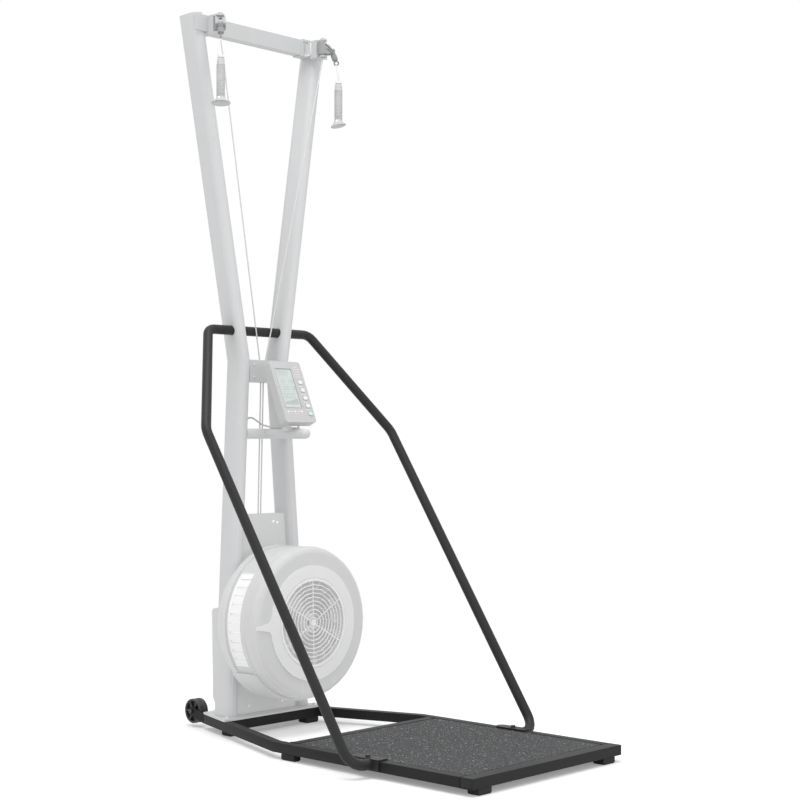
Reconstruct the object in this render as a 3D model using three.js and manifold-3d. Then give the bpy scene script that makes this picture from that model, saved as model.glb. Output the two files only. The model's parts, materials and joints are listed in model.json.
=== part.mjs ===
// Standing ski trainer: a V-shaped tower with an air-fan brake, two pull handles and a monitor,
// bolted to a low platform with two hand rails and a pair of transport wheels.
// Millimetres. +X is the user's right, +Y is away from the user, +Z is up, the floor is z = 0.
// Inside the machine group y = 0 is the middle plane of the tower's uprights.
import * as THREE from 'three';
import { mergeVertices } from 'three/addons/utils/BufferGeometryUtils.js';
import Module from 'manifold-3d';

const wasm = await Module();
wasm.setup();

// Clearances, and how far joined solids and cutting tools run past each other
const seat = 0.3;
const running = 0.4;
const bite = 1;
const overrun = 4;
const weldTolerance = 0.0005;

// Floor stand
const stand = {
  halfWidth: 300,
  frontReach: 1095,
  kinkReach: 394,
  rearReach: 71,
  rearHalfWidth: 148,
  footHeight: 17,
  tubeHeight: 27,
  tubeWidth: 28,
  frontTubeDepth: 40,
  deckTubeReach: 434,
  crossTubeDepth: 40,
  wall: 2.5,
};
const foot = { length: 50, width: 26, chamfer: 4, frontInset: 50, midReach: 452, rearSpread: 150 };
const deck = {
  ribHeight: 8,
  ribDepth: 40,
  panel: 11,
  mat: 7,
  matGap: 3,
  matCorner: 6,
  ribShares: [0.3, 0.7],
};

// Transport wheels
const wheel = {
  radius: 36,
  width: 29,
  centreX: 126,
  reach: 129,
  height: 46,
  hub: 9,
  rim: 30,
  web: 5,
  spokes: 6,
};
const wheelTab = { thickness: 4, gap: 1, axle: 4, head: 7, headHeight: 4, round: 13 };

// Hand rails
const rail = {
  radius: 14,
  core: 12.4,
  port: 8,
  bore: 11.4,
  spigot: 22,
  startX: 151,
  shoulderX: 198,
  elbowX: 364.5,
  elbowReach: 196,
  elbowHeight: 873,
  footReach: 752,
  footHeight: 34,
  endAhead: 5,
  seamHeight: 713,
  shoulderBend: 34,
  elbowBend: 70,
  footBend: 46,
};
const railTube = { rise: 88, reach: 5 };
const railPlate = {
  thickness: 4,
  ahead: 38,
  behind: 70,
  flangeBehind: 38,
  innerX: 271,
  clearBelow: 2,
  boltBehind: 14,
  boltHole: 4,
};

// Tower. It leans back about a level line across it at the pivot's height.
const tilt = { share: 0.0135, pivot: 1000 };
const upright = {
  depth: 80,
  thickness: 40,
  bottomX: 139.9,
  waistX: 76,
  waistHeight: 1077,
  topX: 243.2,
  topHeight: 2077,
  wall: 3,
};
const footPlate = { thickness: 6, frontReach: 80 };
const crossbar = { drop: 51, height: 47, depth: 30, wall: 2.5 };
const topBracket = {
  drop: 65.5,
  sleeve: 40,
  web: 24,
  wall: 2.4,
  plate: 4,
  outerX: 262,
  ear: 5,
  earHalf: 12,
  neckHalf: 13,
  pin: 4,
  pinDepth: 8,
  pinHead: 7,
  window: 22,
  windowInset: 6,
  windowHeight: 38,
};
const waist = {
  drop: 62,
  height: 66,
  front: 25,
  back: 22,
  wall: 2.4,
  halfWidth: 55,
  slot: 15,
  slotDepth: 10,
  post: 8,
};
const base = { top: 626, front: 16, back: 40, wall: 3 };
const rearBox = { halfWidth: 118, low: 55, high: 353, depth: 43.5, chamfer: 38, round: 7 };

// Pull heads, cords and handles
const head = {
  inset: 38.2,
  swivelReach: 63,
  toeShare: 0.422,
  halfWidth: 15,
  height: 40.4,
  neckGap: 3.5,
  brow: 6,
  browDrop: 3.4,
  chinReach: 31,
  chinHeight: 13,
  jawReach: 24,
  boss: 8.4,
  cordHole: 5,
  slot: 10.6,
  pin: 3.7,
  exitShare: 0.222,
  finStart: 9,
  finLength: 40,
  finPitch: 6,
  finSlot: 2.6,
  fins: 2,
};
const waistWheel = { radius: 20, width: 9.6, bore: 4.1, groove: 16, cordCentre: 18.3 };
const headWheel = { radius: 14.4, width: 9.6, bore: 4.1, groove: 9.7, cordCentre: 12, rise: 16 };
const cord = { radius: 2, spacing: 5, waistReach: 17, footReach: 5, inBase: 30 };
const nose = { start: 11, radius: 10, rib: 3.4, ribs: 3, taper: 1, groove: 1.4, bore: 5 };
const stopper = { radius: 9, length: 22, shoulder: 3, endShare: 0.62 };
const link = { radius: 6.5, thick: 2.2 };
const strap = { radius: 2.2, spread: 8, knotHeight: 5, bend: 8, splay: 12, cap: 10 };
const handle = {
  drop: 148,
  reach: 47,
  length: 132,
  radius: 12,
  waist: 11,
  neck: 8,
  neckHeight: 6,
  flare: 19,
  flareEdge: 17,
  flareRise: 8,
  flareLength: 24,
  lip: 28,
  lipWidth: 23,
  lipThickness: 3,
  lipTiltShare: 0.14,
};

// Fan brake
const fan = { height: 317.1, radius: 215, front: 223.5, back: 40 };
const shell = {
  wall: 4,
  face: 4,
  faceBack: 3,
  mouth: 119,
  shoulder: 18,
  backRadius: 200,
  taper: 30,
  rimRadius: 219.5,
  rimDepth: 20,
  rib: 3,
  ribWidth: 4,
  ribShares: [0.614, 0.827],
  windowFront: 151.6,
  windowBack: 97,
  windowShare: 0.422,
  windowRiseShare: 0.067,
  lipRadius: 225,
  lipDepth: 130,
  lipShare: 0.578,
  segments: 36,
};
const screen = { thickness: 2.5, slots: 10, slot: 6, margin: 5, endShare: 0.03 };
const damper = {
  inner: 128.6,
  outer: 164,
  thickness: 4,
  leverReach: 217,
  leverTip: 4,
  leverNeck: 8,
  leverRoot: 26,
};
const grille = { rings: 9, bar: 2.6, depth: 3, spokes: 6, boss: 10, hoop: 8, first: 14 };
const blower = {
  radius: 188,
  inner: 95,
  blades: 20,
  blade: 2.5,
  sweepShare: 0.267,
  disc: 4,
  hub: 28,
  front: 205,
  back: 84,
};
const shaft = { radius: 8, front: 212, back: 22 };
const bearing = { outer: 20, width: 12, boss: 27 };

// Monitor
const monitor = {
  width: 120,
  height: 194,
  thickness: 28,
  leanShare: 0.26,
  reach: 150.5,
  rise: 122,
  corner: 9,
};
const armTube = { radius: 15, drop: 214, setForward: 31, reach: 218 };
const hinge = { down: 70, behind: 40, radius: 8, halfWidth: 19, ear: 4, pin: 4, saddle: 26, sink: 2 };
const display = { left: 44, right: 17, top: 73, bottom: 48, thickness: 1.5, recess: 2 };
const key = {
  width: 15,
  height: 11,
  proud: 2.5,
  depth: 3,
  slantShare: 0.04,
  pitch: 25,
  firstDown: -30,
  firstX: 39,
  count: 5,
};
const lead = { radius: 2.5, rise: 26, crossShare: 0.3, startShare: 0.62 };

const sides = [
  { name: 'left', sign: -1 },
  { name: 'right', sign: 1 },
];

// Places worked out from the sizes above
const deckFront = -stand.frontReach + stand.frontTubeDepth;
const platformTop = stand.footHeight + stand.tubeHeight;
const towerFloor = platformTop + seat + footPlate.thickness;
const quarter = Math.PI / 2;
const upLean = Math.atan((upright.topX - upright.waistX) / (upright.topHeight - upright.waistHeight));
const lowLean = Math.atan((upright.bottomX - upright.waistX) / (upright.waistHeight - towerFloor));
const tiltAngle = tilt.share * quarter;
const railHeight = upright.waistHeight + railTube.rise;
const armHeight = upright.waistHeight - armTube.drop;
const crossbarLow = upright.topHeight - crossbar.drop;
const crossbarHigh = crossbarLow + crossbar.height;
const bracketLow = upright.topHeight - topBracket.drop;
const headLow = bracketLow + topBracket.ear + head.neckGap;
const headHigh = headLow + head.height;
const upperEar = headHigh + running;
const swivelX = upright.topX - head.inset;
const handleTop = upright.topHeight - handle.drop;
const waistLow = upright.waistHeight - waist.drop;
const waistHigh = waistLow + waist.height;
const waistWheelX = cord.spacing + waistWheel.cordCentre;
const waistWheelZ = (waistLow + waistHigh) / 2;
const headWheelZ = headLow + headWheel.rise;

// How far the tower's middle plane has moved back at a height.
function tiltY(height) {
  return (height - tilt.pivot) * Math.tan(tiltAngle);
}

// Middle line of an upright at a height.
function uprightX(height) {
  if (height > upright.waistHeight) {
    return upright.waistX + (height - upright.waistHeight) * Math.tan(upLean);
  }
  return upright.waistX + (upright.waistHeight - height) * Math.tan(lowLean);
}

// Inner face of an upright at a height.
function innerX(height) {
  const lean = height > upright.waistHeight ? upLean : lowLean;
  return uprightX(height) - upright.thickness / 2 / Math.cos(lean);
}

const materials = {
  stand: new THREE.MeshStandardMaterial({ color: 0x2a2a2b, roughness: 0.5, metalness: 0.3 }),
  mat: new THREE.MeshStandardMaterial({ color: 0x5a5b5c, roughness: 0.95, metalness: 0 }),
  rubber: new THREE.MeshStandardMaterial({ color: 0x1c1c1c, roughness: 0.9, metalness: 0 }),
  tower: new THREE.MeshStandardMaterial({ color: 0xcfd0d1, roughness: 0.45, metalness: 0.2 }),
  shell: new THREE.MeshStandardMaterial({ color: 0xc4c5c6, roughness: 0.55, metalness: 0 }),
  light: new THREE.MeshStandardMaterial({ color: 0xe4e5e6, roughness: 0.5, metalness: 0.1 }),
  steel: new THREE.MeshStandardMaterial({ color: 0xd8d8d6, roughness: 0.3, metalness: 0.8 }),
  cord: new THREE.MeshStandardMaterial({ color: 0xe6e6e4, roughness: 0.8, metalness: 0 }),
  glass: new THREE.MeshStandardMaterial({ color: 0xcfe3dc, roughness: 0.15, metalness: 0 }),
  key: new THREE.MeshStandardMaterial({ color: 0xefe9ea, roughness: 0.6, metalness: 0 }),
  start: new THREE.MeshStandardMaterial({ color: 0xbfe6d4, roughness: 0.6, metalness: 0 }),
};

// Solids

// Drops triangles that have lost their area and turns an inside-out mesh round.
function tidyMesh(positions, triangles) {
  const kept = [];
  let volume = 0;
  const a = new THREE.Vector3();
  const b = new THREE.Vector3();
  const c = new THREE.Vector3();
  for (let i = 0; i < triangles.length; i += 3) {
    const [p, q, r] = [triangles[i], triangles[i + 1], triangles[i + 2]];
    if (p === q || q === r || r === p) continue;
    a.fromArray(positions, 3 * p);
    b.fromArray(positions, 3 * q);
    c.fromArray(positions, 3 * r);
    volume += a.dot(b.cross(c));
    kept.push(p, q, r);
  }
  if (volume < 0) kept.reverse();
  return Uint32Array.from(kept);
}

// Makes a solid that can be cut and joined out of a closed geometry.
function solid(geometry) {
  const bare = geometry.clone();
  bare.deleteAttribute('normal');
  bare.deleteAttribute('uv');
  const merged = mergeVertices(bare, weldTolerance);
  const vertProperties = Float32Array.from(merged.attributes.position.array);
  const triVerts = tidyMesh(vertProperties, merged.index.array);
  return new wasm.Manifold(new wasm.Mesh({ numProp: 3, vertProperties, triVerts }));
}

function unite(first, ...others) {
  return others.reduce((body, other) => body.add(other), first);
}

function cut(body, ...tools) {
  return tools.reduce((left, tool) => left.subtract(tool), body);
}

// Turns a solid back into a geometry for a mesh.
function geometryOf(body) {
  const mesh = body.getMesh();
  const geometry = new THREE.BufferGeometry();
  geometry.setAttribute('position', new THREE.BufferAttribute(Float32Array.from(mesh.vertProperties), 3));
  geometry.setIndex(new THREE.BufferAttribute(Uint32Array.from(mesh.triVerts), 1));
  geometry.computeVertexNormals();
  return geometry;
}

// A block between two opposite corners, given in any order.
function block(x0, x1, y0, y1, z0, z1) {
  const geometry = new THREE.BoxGeometry(Math.abs(x1 - x0), Math.abs(y1 - y0), Math.abs(z1 - z0));
  return solid(geometry.translate((x0 + x1) / 2, (y0 + y1) / 2, (z0 + z1) / 2));
}

// A round bar along an axis, centred on a point.
function bar(axis, radius, length, centre, sidesRound = 20) {
  const geometry = new THREE.CylinderGeometry(radius, radius, length, sidesRound);
  if (axis === 'x') geometry.rotateZ(quarter);
  if (axis === 'z') geometry.rotateX(quarter);
  return solid(geometry.translate(...centre));
}

// A plan outline raised from one height to another.
function slab(outline, low, high, curveSegments = 6) {
  const options = { depth: high - low, bevelEnabled: false, curveSegments };
  return solid(new THREE.ExtrudeGeometry(outline, options).translate(0, 0, low));
}

// An outline drawn in x and z, made thick from y = front to y = back.
function wallAcross(outline, front, back, curveSegments = 6) {
  const options = { depth: back - front, bevelEnabled: false, curveSegments };
  const geometry = new THREE.ExtrudeGeometry(outline, options);
  return solid(geometry.rotateX(quarter).translate(0, back, 0));
}

// An outline drawn in y and z, made thick from x = left to x = right.
function wallAlong(outline, left, right, curveSegments = 6) {
  const options = { depth: right - left, bevelEnabled: false, curveSegments };
  const geometry = new THREE.ExtrudeGeometry(outline, options);
  const turn = new THREE.Matrix4().makeBasis(
    new THREE.Vector3(0, 1, 0),
    new THREE.Vector3(0, 0, 1),
    new THREE.Vector3(1, 0, 0),
  );
  return solid(geometry.applyMatrix4(turn).translate(left, 0, 0));
}

// A solid drawn on the upright tower, leaned back with it.
function leaned(body) {
  const degrees = THREE.MathUtils.radToDeg(-tiltAngle);
  return body.translate(0, 0, -tilt.pivot).rotate(degrees, 0, 0).translate(0, 0, tilt.pivot);
}

function outlineOf(points) {
  return new THREE.Shape(points.map(([x, y]) => new THREE.Vector2(x, y)));
}

// A turned piece about the y axis; each point is a radius and a place along y.
function turned(points, segments) {
  const profile = points.map(([radius, y]) => new THREE.Vector2(radius, y));
  const closed = points[0][0] > 0 ? [...profile, profile[0].clone()] : profile;
  return solid(new THREE.LatheGeometry(closed, segments));
}

// A tube's middle line: straight runs joined by round bends, with rings only where it turns.
class BentPath extends THREE.Curve {
  constructor(corners, bends, steps) {
    super();
    this.rings = [];
    corners.forEach((corner, i) => {
      const before = corners[i - 1];
      const after = corners[i + 1];
      if (!before || !after) {
        const along = before ? corner.clone().sub(before) : after.clone().sub(corner);
        this.rings.push({ place: corner, along: along.normalize() });
        return;
      }
      this.addBend(before, corner, after, bends[i - 1], steps);
    });
  }

  addBend(before, corner, after, radius, steps) {
    const into = corner.clone().sub(before).normalize();
    const out = after.clone().sub(corner).normalize();
    const turn = into.angleTo(out);
    const axis = new THREE.Vector3().crossVectors(into, out).normalize();
    const start = corner.clone().addScaledVector(into, -radius * Math.tan(turn / 2));
    const centre = start.clone().addScaledVector(axis.clone().cross(into), radius);
    for (let k = 0; k <= steps; k += 1) {
      const angle = (turn * k) / steps;
      const place = start.clone().sub(centre).applyAxisAngle(axis, angle).add(centre);
      this.rings.push({ place, along: into.clone().applyAxisAngle(axis, angle) });
    }
  }

  get count() {
    return this.rings.length - 1;
  }

  getPoint(t) {
    const at = t * this.count;
    const i = Math.min(Math.floor(at), this.count - 1);
    return this.rings[i].place.clone().lerp(this.rings[i + 1].place, at - i);
  }

  getPointAt(u) {
    return this.getPoint(u);
  }

  getTangentAt(u) {
    return this.rings[Math.round(u * this.count)].along.clone();
  }
}

// A section swept along a path.
function sweep(section, path, curveSegments = 6) {
  const options = { steps: path.count, extrudePath: path, bevelEnabled: false, curveSegments };
  return solid(new THREE.ExtrudeGeometry(section, options));
}

function roundSection(radius, sidesRound) {
  const points = [];
  for (let i = 0; i < sidesRound; i += 1) {
    const angle = (2 * Math.PI * i) / sidesRound;
    points.push([radius * Math.cos(angle), radius * Math.sin(angle)]);
  }
  return outlineOf(points);
}

function tube(corners, radius, bends, steps = 4, sidesRound = 12) {
  return sweep(roundSection(radius, sidesRound), new BentPath(corners, bends, steps));
}

const point = (x, y, z) => new THREE.Vector3(x, y, z);

const machine = new THREE.Group();

// Puts a finished solid into the machine, or into a group of it, under its name.
function place(name, body, material, group = machine) {
  const mesh = new THREE.Mesh(geometryOf(body), materials[material]);
  mesh.name = name;
  group.add(mesh);
  return mesh;
}

// Floor stand

// Lines of a side tube seen from above, on the right-hand side.
function sideTubeLines() {
  const kink = new THREE.Vector2(stand.halfWidth, -stand.kinkReach);
  const run = new THREE.Vector2(stand.rearHalfWidth, stand.rearReach).sub(kink).normalize();
  const inward = new THREE.Vector2(-run.y, run.x);
  const front = new THREE.Vector2(-1, 0);
  const mitre = inward.clone().add(front).divideScalar(1 + front.dot(inward));
  const outerAt = (y) => kink.x + ((y - kink.y) * run.x) / run.y;
  const innerAt = (y) => outerAt(y) + stand.tubeWidth / inward.x;
  return { kink, inward, mitre, outerAt, innerAt };
}
const sideTube = sideTubeLines();

// Plan of a side tube, or of its hollow when drawn in by the wall and run past both ends.
function sideTubeOutline(sign, inset, past) {
  const { kink, inward, mitre, outerAt, innerAt } = sideTube;
  const front = deckFront + seat - past;
  const rear = stand.rearReach + past;
  const outerKink = kink.clone().addScaledVector(mitre, inset);
  const innerKink = kink.clone().addScaledVector(mitre, stand.tubeWidth - inset);
  const corners = [
    [stand.halfWidth - inset, front],
    [outerKink.x, outerKink.y],
    [outerAt(rear) + inset / inward.x, rear],
    [innerAt(rear) - inset / inward.x, rear],
    [innerKink.x, innerKink.y],
    [stand.halfWidth - stand.tubeWidth + inset, front],
  ];
  return outlineOf(corners.map(([x, y]) => [sign * x, y]));
}

function standSideTube(sign) {
  const { wall } = stand;
  const outer = slab(sideTubeOutline(sign, 0, 0), stand.footHeight, platformTop);
  const core = slab(sideTubeOutline(sign, wall, overrun), stand.footHeight + wall, platformTop - wall);
  return cut(outer, core);
}

// A straight box tube across the stand, open at its ends.
function crossTube(half, front, back) {
  const { wall } = stand;
  const low = stand.footHeight;
  const ends = [-half - overrun, half + overrun];
  const core = block(...ends, front + wall, back - wall, low + wall, platformTop - wall);
  return cut(block(-half, half, front, back, low, platformTop), core);
}

function standRearCrossTube() {
  const front = -footPlate.frontReach;
  const back = front + stand.crossTubeDepth;
  const atFront = sideTube.innerAt(front) - seat;
  const atBack = sideTube.innerAt(back) - seat;
  const outline = outlineOf([[-atFront, front], [atFront, front], [atBack, back], [-atBack, back]]);
  return slab(outline, stand.footHeight, platformTop).intersect(crossTube(stand.halfWidth, front, back));
}

const innerHalf = stand.halfWidth - stand.tubeWidth;
const deckBack = -stand.deckTubeReach - stand.tubeWidth;
const deckPanelTop = stand.footHeight + deck.ribHeight + deck.panel;

// The deck panel with its two stiffening ribs below.
function deckPanel() {
  const low = stand.footHeight + deck.ribHeight;
  const across = [-innerHalf + seat, innerHalf - seat];
  const panel = block(...across, deckFront + seat, deckBack - seat, low, deckPanelTop);
  const ribs = deck.ribShares.map((share) => {
    const middle = deckFront + (deckBack - deckFront) * share;
    const ends = [middle - deck.ribDepth / 2, middle + deck.ribDepth / 2];
    return block(...across, ...ends, stand.footHeight, low);
  });
  return unite(panel, ...ribs);
}

function roundedRectangle(x0, x1, y0, y1, radius) {
  const shape = new THREE.Shape();
  shape.absarc(x1 - radius, y0 + radius, radius, -quarter, 0);
  shape.absarc(x1 - radius, y1 - radius, radius, 0, quarter);
  shape.absarc(x0 + radius, y1 - radius, radius, quarter, 2 * quarter);
  shape.absarc(x0 + radius, y0 + radius, radius, 2 * quarter, 3 * quarter);
  return shape;
}

function deckMat() {
  const half = innerHalf - deck.matGap;
  const ends = [deckFront + deck.matGap, deckBack - deck.matGap];
  const outline = roundedRectangle(-half, half, ...ends, deck.matCorner);
  return slab(outline, deckPanelTop + seat, deckPanelTop + seat + deck.mat, 2);
}

// A rubber foot, a little smaller at the floor.
function rubberFoot(x, y, lengthX, lengthY) {
  const half = lengthX / 2;
  const profile = outlineOf([
    [x - half + foot.chamfer, 0],
    [x + half - foot.chamfer, 0],
    [x + half, foot.chamfer],
    [x + half, stand.footHeight - seat],
    [x - half, stand.footHeight - seat],
    [x - half, foot.chamfer],
  ]);
  return wallAcross(profile, y - lengthY / 2, y + lengthY / 2);
}

function buildFeet() {
  const frontX = stand.halfWidth - foot.frontInset;
  const frontY = -stand.frontReach + stand.frontTubeDepth / 2;
  const rearY = -footPlate.frontReach + stand.crossTubeDepth / 2;
  const midX = stand.halfWidth - stand.tubeWidth / 2;
  const frontDepth = stand.frontTubeDepth - foot.chamfer;
  const rearDepth = stand.crossTubeDepth - foot.chamfer;
  for (const { name, sign } of sides) {
    place(`foot_front_${name}`, rubberFoot(sign * frontX, frontY, foot.length, frontDepth), 'rubber');
    place(`foot_middle_${name}`, rubberFoot(sign * midX, -foot.midReach, foot.width, foot.length), 'rubber');
    place(`foot_rear_${name}`, rubberFoot(sign * foot.rearSpread, rearY, foot.length, rearDepth), 'rubber');
  }
}

function buildStand() {
  for (const { name, sign } of sides) place(`stand_side_tube_${name}`, standSideTube(sign), 'stand');
  place('stand_front_tube', crossTube(stand.halfWidth, -stand.frontReach, deckFront), 'stand');
  place('stand_deck_tube', crossTube(innerHalf - seat, deckBack, -stand.deckTubeReach), 'stand');
  place('stand_rear_cross_tube', standRearCrossTube(), 'stand');
  place('deck_panel', deckPanel(), 'stand');
  place('deck_mat', deckMat(), 'mat');
  buildFeet();
}

// Transport wheels

// A twin-rimmed wheel turned about the x axis, centred on its own origin.
function transportWheel() {
  const half = wheel.width / 2;
  const groove = wheel.radius - wheel.web;
  const profile = [
    [wheelTab.axle + running, -half],
    [wheel.hub, -half],
    [wheel.hub, -wheel.web],
    [wheel.rim, -wheel.web],
    [wheel.rim, -half],
    [wheel.radius, -half],
    [wheel.radius, -wheel.web],
    [groove, 0],
    [wheel.radius, wheel.web],
    [wheel.radius, half],
    [wheel.rim, half],
    [wheel.rim, wheel.web],
    [wheel.hub, wheel.web],
    [wheel.hub, half],
    [wheelTab.axle + running, half],
  ];
  const body = turned(profile, 18);
  const spokes = [];
  for (let i = 0; i < wheel.spokes; i += 1) {
    const ends = [wheel.hub - bite, wheel.rim + bite];
    const spoke = block(...ends, bite - half, half - bite, -wheel.web / 2, wheel.web / 2);
    spokes.push(spoke.rotate(0, (360 * i) / wheel.spokes, 0));
  }
  return unite(body, ...spokes).rotate(0, 0, 90);
}

// The end plate on a side tube with its tab and the axle bolt.
function wheelBracket(sign) {
  const tabInner = wheel.centreX + wheel.width / 2 + wheelTab.gap;
  const tabOuter = tabInner + wheelTab.thickness;
  const plateFront = stand.rearReach + seat;
  const plateBack = plateFront + wheelTab.thickness;
  const plateInner = sideTube.innerAt(stand.rearReach);
  const plate = block(plateInner, tabOuter, plateFront, plateBack, stand.footHeight, platformTop);
  const outline = new THREE.Shape();
  outline.moveTo(plateFront, stand.footHeight);
  outline.lineTo(plateBack, stand.footHeight);
  outline.absarc(wheel.reach, wheel.height, wheelTab.round, -quarter, quarter);
  outline.lineTo(plateFront, platformTop);
  const tab = wallAlong(outline, tabInner, tabOuter);
  const axleEnd = wheel.centreX - wheel.width / 2 - wheelTab.headHeight;
  const axleMiddle = [(tabOuter + axleEnd) / 2, wheel.reach, wheel.height];
  const axle = bar('x', wheelTab.axle, tabOuter - axleEnd, axleMiddle, 16);
  const capX = tabOuter + wheelTab.headHeight / 2;
  const cap = bar('x', wheelTab.head, wheelTab.headHeight, [capX, wheel.reach, wheel.height], 6);
  const nutX = axleEnd + wheelTab.headHeight / 2 - running;
  const nut = bar('x', wheelTab.head, wheelTab.headHeight, [nutX, wheel.reach, wheel.height], 6);
  return mirrored(unite(plate, tab, axle, cap, nut), sign);
}

// A right-hand solid, or its mirror image for the left.
function mirrored(body, sign) {
  return sign > 0 ? body : body.mirror([1, 0, 0]);
}

function buildWheels() {
  for (const { name, sign } of sides) {
    place(`wheel_bracket_${name}`, wheelBracket(sign), 'stand');
    const mesh = place(`wheel_${name}`, transportWheel(), 'rubber');
    mesh.position.set(sign * wheel.centreX, wheel.reach, wheel.height);
  }
}

// Hand rails

const railEndX = stand.halfWidth + seat + railPlate.thickness / 2;
const railCorners = {
  start: point(rail.startX, -railTube.reach, railHeight),
  shoulder: point(rail.shoulderX, -railTube.reach, railHeight),
  elbow: point(rail.elbowX, -rail.elbowReach, rail.elbowHeight),
  foot: point(rail.elbowX, -rail.footReach, rail.footHeight),
  end: point(railEndX, -rail.footReach - rail.endAhead, rail.footHeight),
};
const legRun = railCorners.foot.clone().sub(railCorners.elbow);
const seamShare = (rail.elbowHeight - rail.seamHeight) / (rail.elbowHeight - rail.footHeight);
const seam = railCorners.elbow.clone().addScaledVector(legRun, seamShare);
const legWay = legRun.clone().normalize();

// A straight round bar between two points.
function rod(from, to, radius, sidesRound = 16) {
  return tube([from, to], radius, [], 1, sidesRound);
}

function railUpper(sign) {
  const { start, shoulder, elbow } = railCorners;
  const bends = [rail.shoulderBend, rail.elbowBend];
  const before = start.clone().setX(start.x - overrun);
  const after = seam.clone().addScaledVector(legWay, overrun);
  const body = tube([start, shoulder, elbow, seam], rail.radius, bends);
  return mirrored(cut(body, tube([before, shoulder, elbow, after], rail.core, bends, 4, 8)), sign);
}

function railLower(sign) {
  const top = seam.clone().addScaledVector(legWay, seat);
  const { foot: bend, end } = railCorners;
  const coreTop = top.clone().addScaledVector(legWay, rail.radius);
  const coreEnd = end.clone().setX(end.x + railPlate.thickness);
  const core = tube([coreTop, bend, coreEnd], rail.core, [rail.footBend], 5, 8);
  const body = cut(tube([top, bend, end], rail.radius, [rail.footBend], 5), core);
  const spigotTop = seam.clone().addScaledVector(legWay, seat - rail.spigot);
  const spigot = rod(spigotTop, top.clone().addScaledVector(legWay, rail.radius), rail.bore - seat);
  const portTop = spigotTop.clone().addScaledVector(legWay, -overrun);
  const port = rod(portTop, coreTop.addScaledVector(legWay, overrun), rail.port, 8);
  return mirrored(unite(cut(unite(body, spigot), port), railFootBracket()), sign);
}

// The plate that hooks over the side tube, welded to the rail's end.
function railFootBracket() {
  const outer = stand.halfWidth + seat + railPlate.thickness;
  const low = platformTop + seat;
  const top = low + railPlate.thickness;
  const front = -rail.footReach - railPlate.ahead;
  const radius = (outer - railPlate.innerX) / 2;
  const middle = railPlate.innerX + radius;
  const plan = new THREE.Shape();
  plan.moveTo(railPlate.innerX, front);
  plan.lineTo(outer, front);
  plan.absarc(middle, -rail.footReach + railPlate.behind - radius, radius, 0, 2 * quarter);
  const plate = slab(plan, low, top);
  const flangeLow = stand.footHeight + railPlate.clearBelow;
  const flangeBack = -rail.footReach + railPlate.flangeBehind;
  const flange = block(stand.halfWidth + seat, outer, front, flangeBack, flangeLow, top);
  const boltPlace = [middle, -rail.footReach + railPlate.boltBehind, low];
  const hole = bar('z', railPlate.boltHole, railPlate.thickness + 2 * overrun, boltPlace, 16);
  return cut(unite(plate, flange), hole);
}

// The tube through both uprights that the rails plug onto.
function railCrossTube() {
  const half = rail.startX - seat;
  const whole = bar('x', rail.radius, 2 * half, [0, -railTube.reach, railHeight], 16);
  const spigotLength = rail.spigot - seat;
  const spigots = sides.map(({ sign }) => {
    const middle = sign * (half + spigotLength / 2 - overrun / 2);
    return bar('x', rail.bore - seat, spigotLength + overrun, [middle, -railTube.reach, railHeight], 16);
  });
  return unite(whole, ...spigots);
}

function buildRails() {
  for (const { name, sign } of sides) {
    place(`rail_upper_${name}`, railUpper(sign), 'stand');
    place(`rail_lower_${name}`, railLower(sign), 'stand');
  }
  place('rail_cross_tube', railCrossTube(), 'tower');
}

// Tower

// A flat-oval section, long in x and thin in y.
function flatOval(long, thin) {
  const radius = thin / 2;
  const reach = long / 2 - radius;
  const shape = new THREE.Shape();
  shape.absarc(reach, 0, radius, -quarter, quarter);
  shape.absarc(-reach, 0, radius, quarter, 3 * quarter);
  return shape;
}

// The right upright's bent bar, made thicker or thinner by a margin all round.
function uprightBar(margin, shortOfTop) {
  const along = new THREE.Vector3(Math.sin(upLean), 0, Math.cos(upLean));
  const low = new THREE.Vector3(-Math.sin(lowLean), 0, Math.cos(lowLean));
  const below = towerFloor + seat - upright.thickness;
  const drop = shortOfTop + (upright.thickness / 2) * Math.sin(upLean);
  const topPlace = point(upright.topX, 0, upright.topHeight - drop);
  topPlace.x -= shortOfTop * Math.tan(upLean);
  const path = new BentPath([point(uprightX(below), 0, below), topPlace], [], 1);
  const waistPlace = point(upright.waistX, 0, upright.waistHeight);
  path.rings = [
    { place: path.rings[0].place, along: low },
    { place: waistPlace, along: along.clone().add(low).normalize() },
    { place: topPlace, along },
  ];
  const section = flatOval(upright.depth + 2 * margin, upright.thickness + 2 * margin);
  return leaned(sweep(section, path, 3));
}

// Everything below the level on which the tower's parts stand.
function belowTower() {
  const span = 2 * upright.bottomX;
  return block(-span, span, -upright.depth, upright.depth, towerFloor + seat, -upright.depth);
}

// A hollow upright, capped at its top and open where it stands on the foot plate.
function uprightSolid(sign) {
  const holePlace = [uprightX(railHeight), -railTube.reach, railHeight];
  const tubeHole = bar('x', rail.radius + seat, 4 * upright.thickness, holePlace, 16);
  const core = uprightBar(-upright.wall, upright.wall);
  return mirrored(cut(uprightBar(0, 0), core, belowTower(), tubeHole), sign);
}

function towerFootPlate() {
  const front = -footPlate.frontReach;
  const back = stand.rearReach;
  const atFront = sideTube.outerAt(front);
  const atBack = sideTube.outerAt(back);
  const outline = outlineOf([[-atFront, front], [atFront, front], [atBack, back], [-atBack, back]]);
  return slab(outline, platformTop + seat, towerFloor);
}

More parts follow.
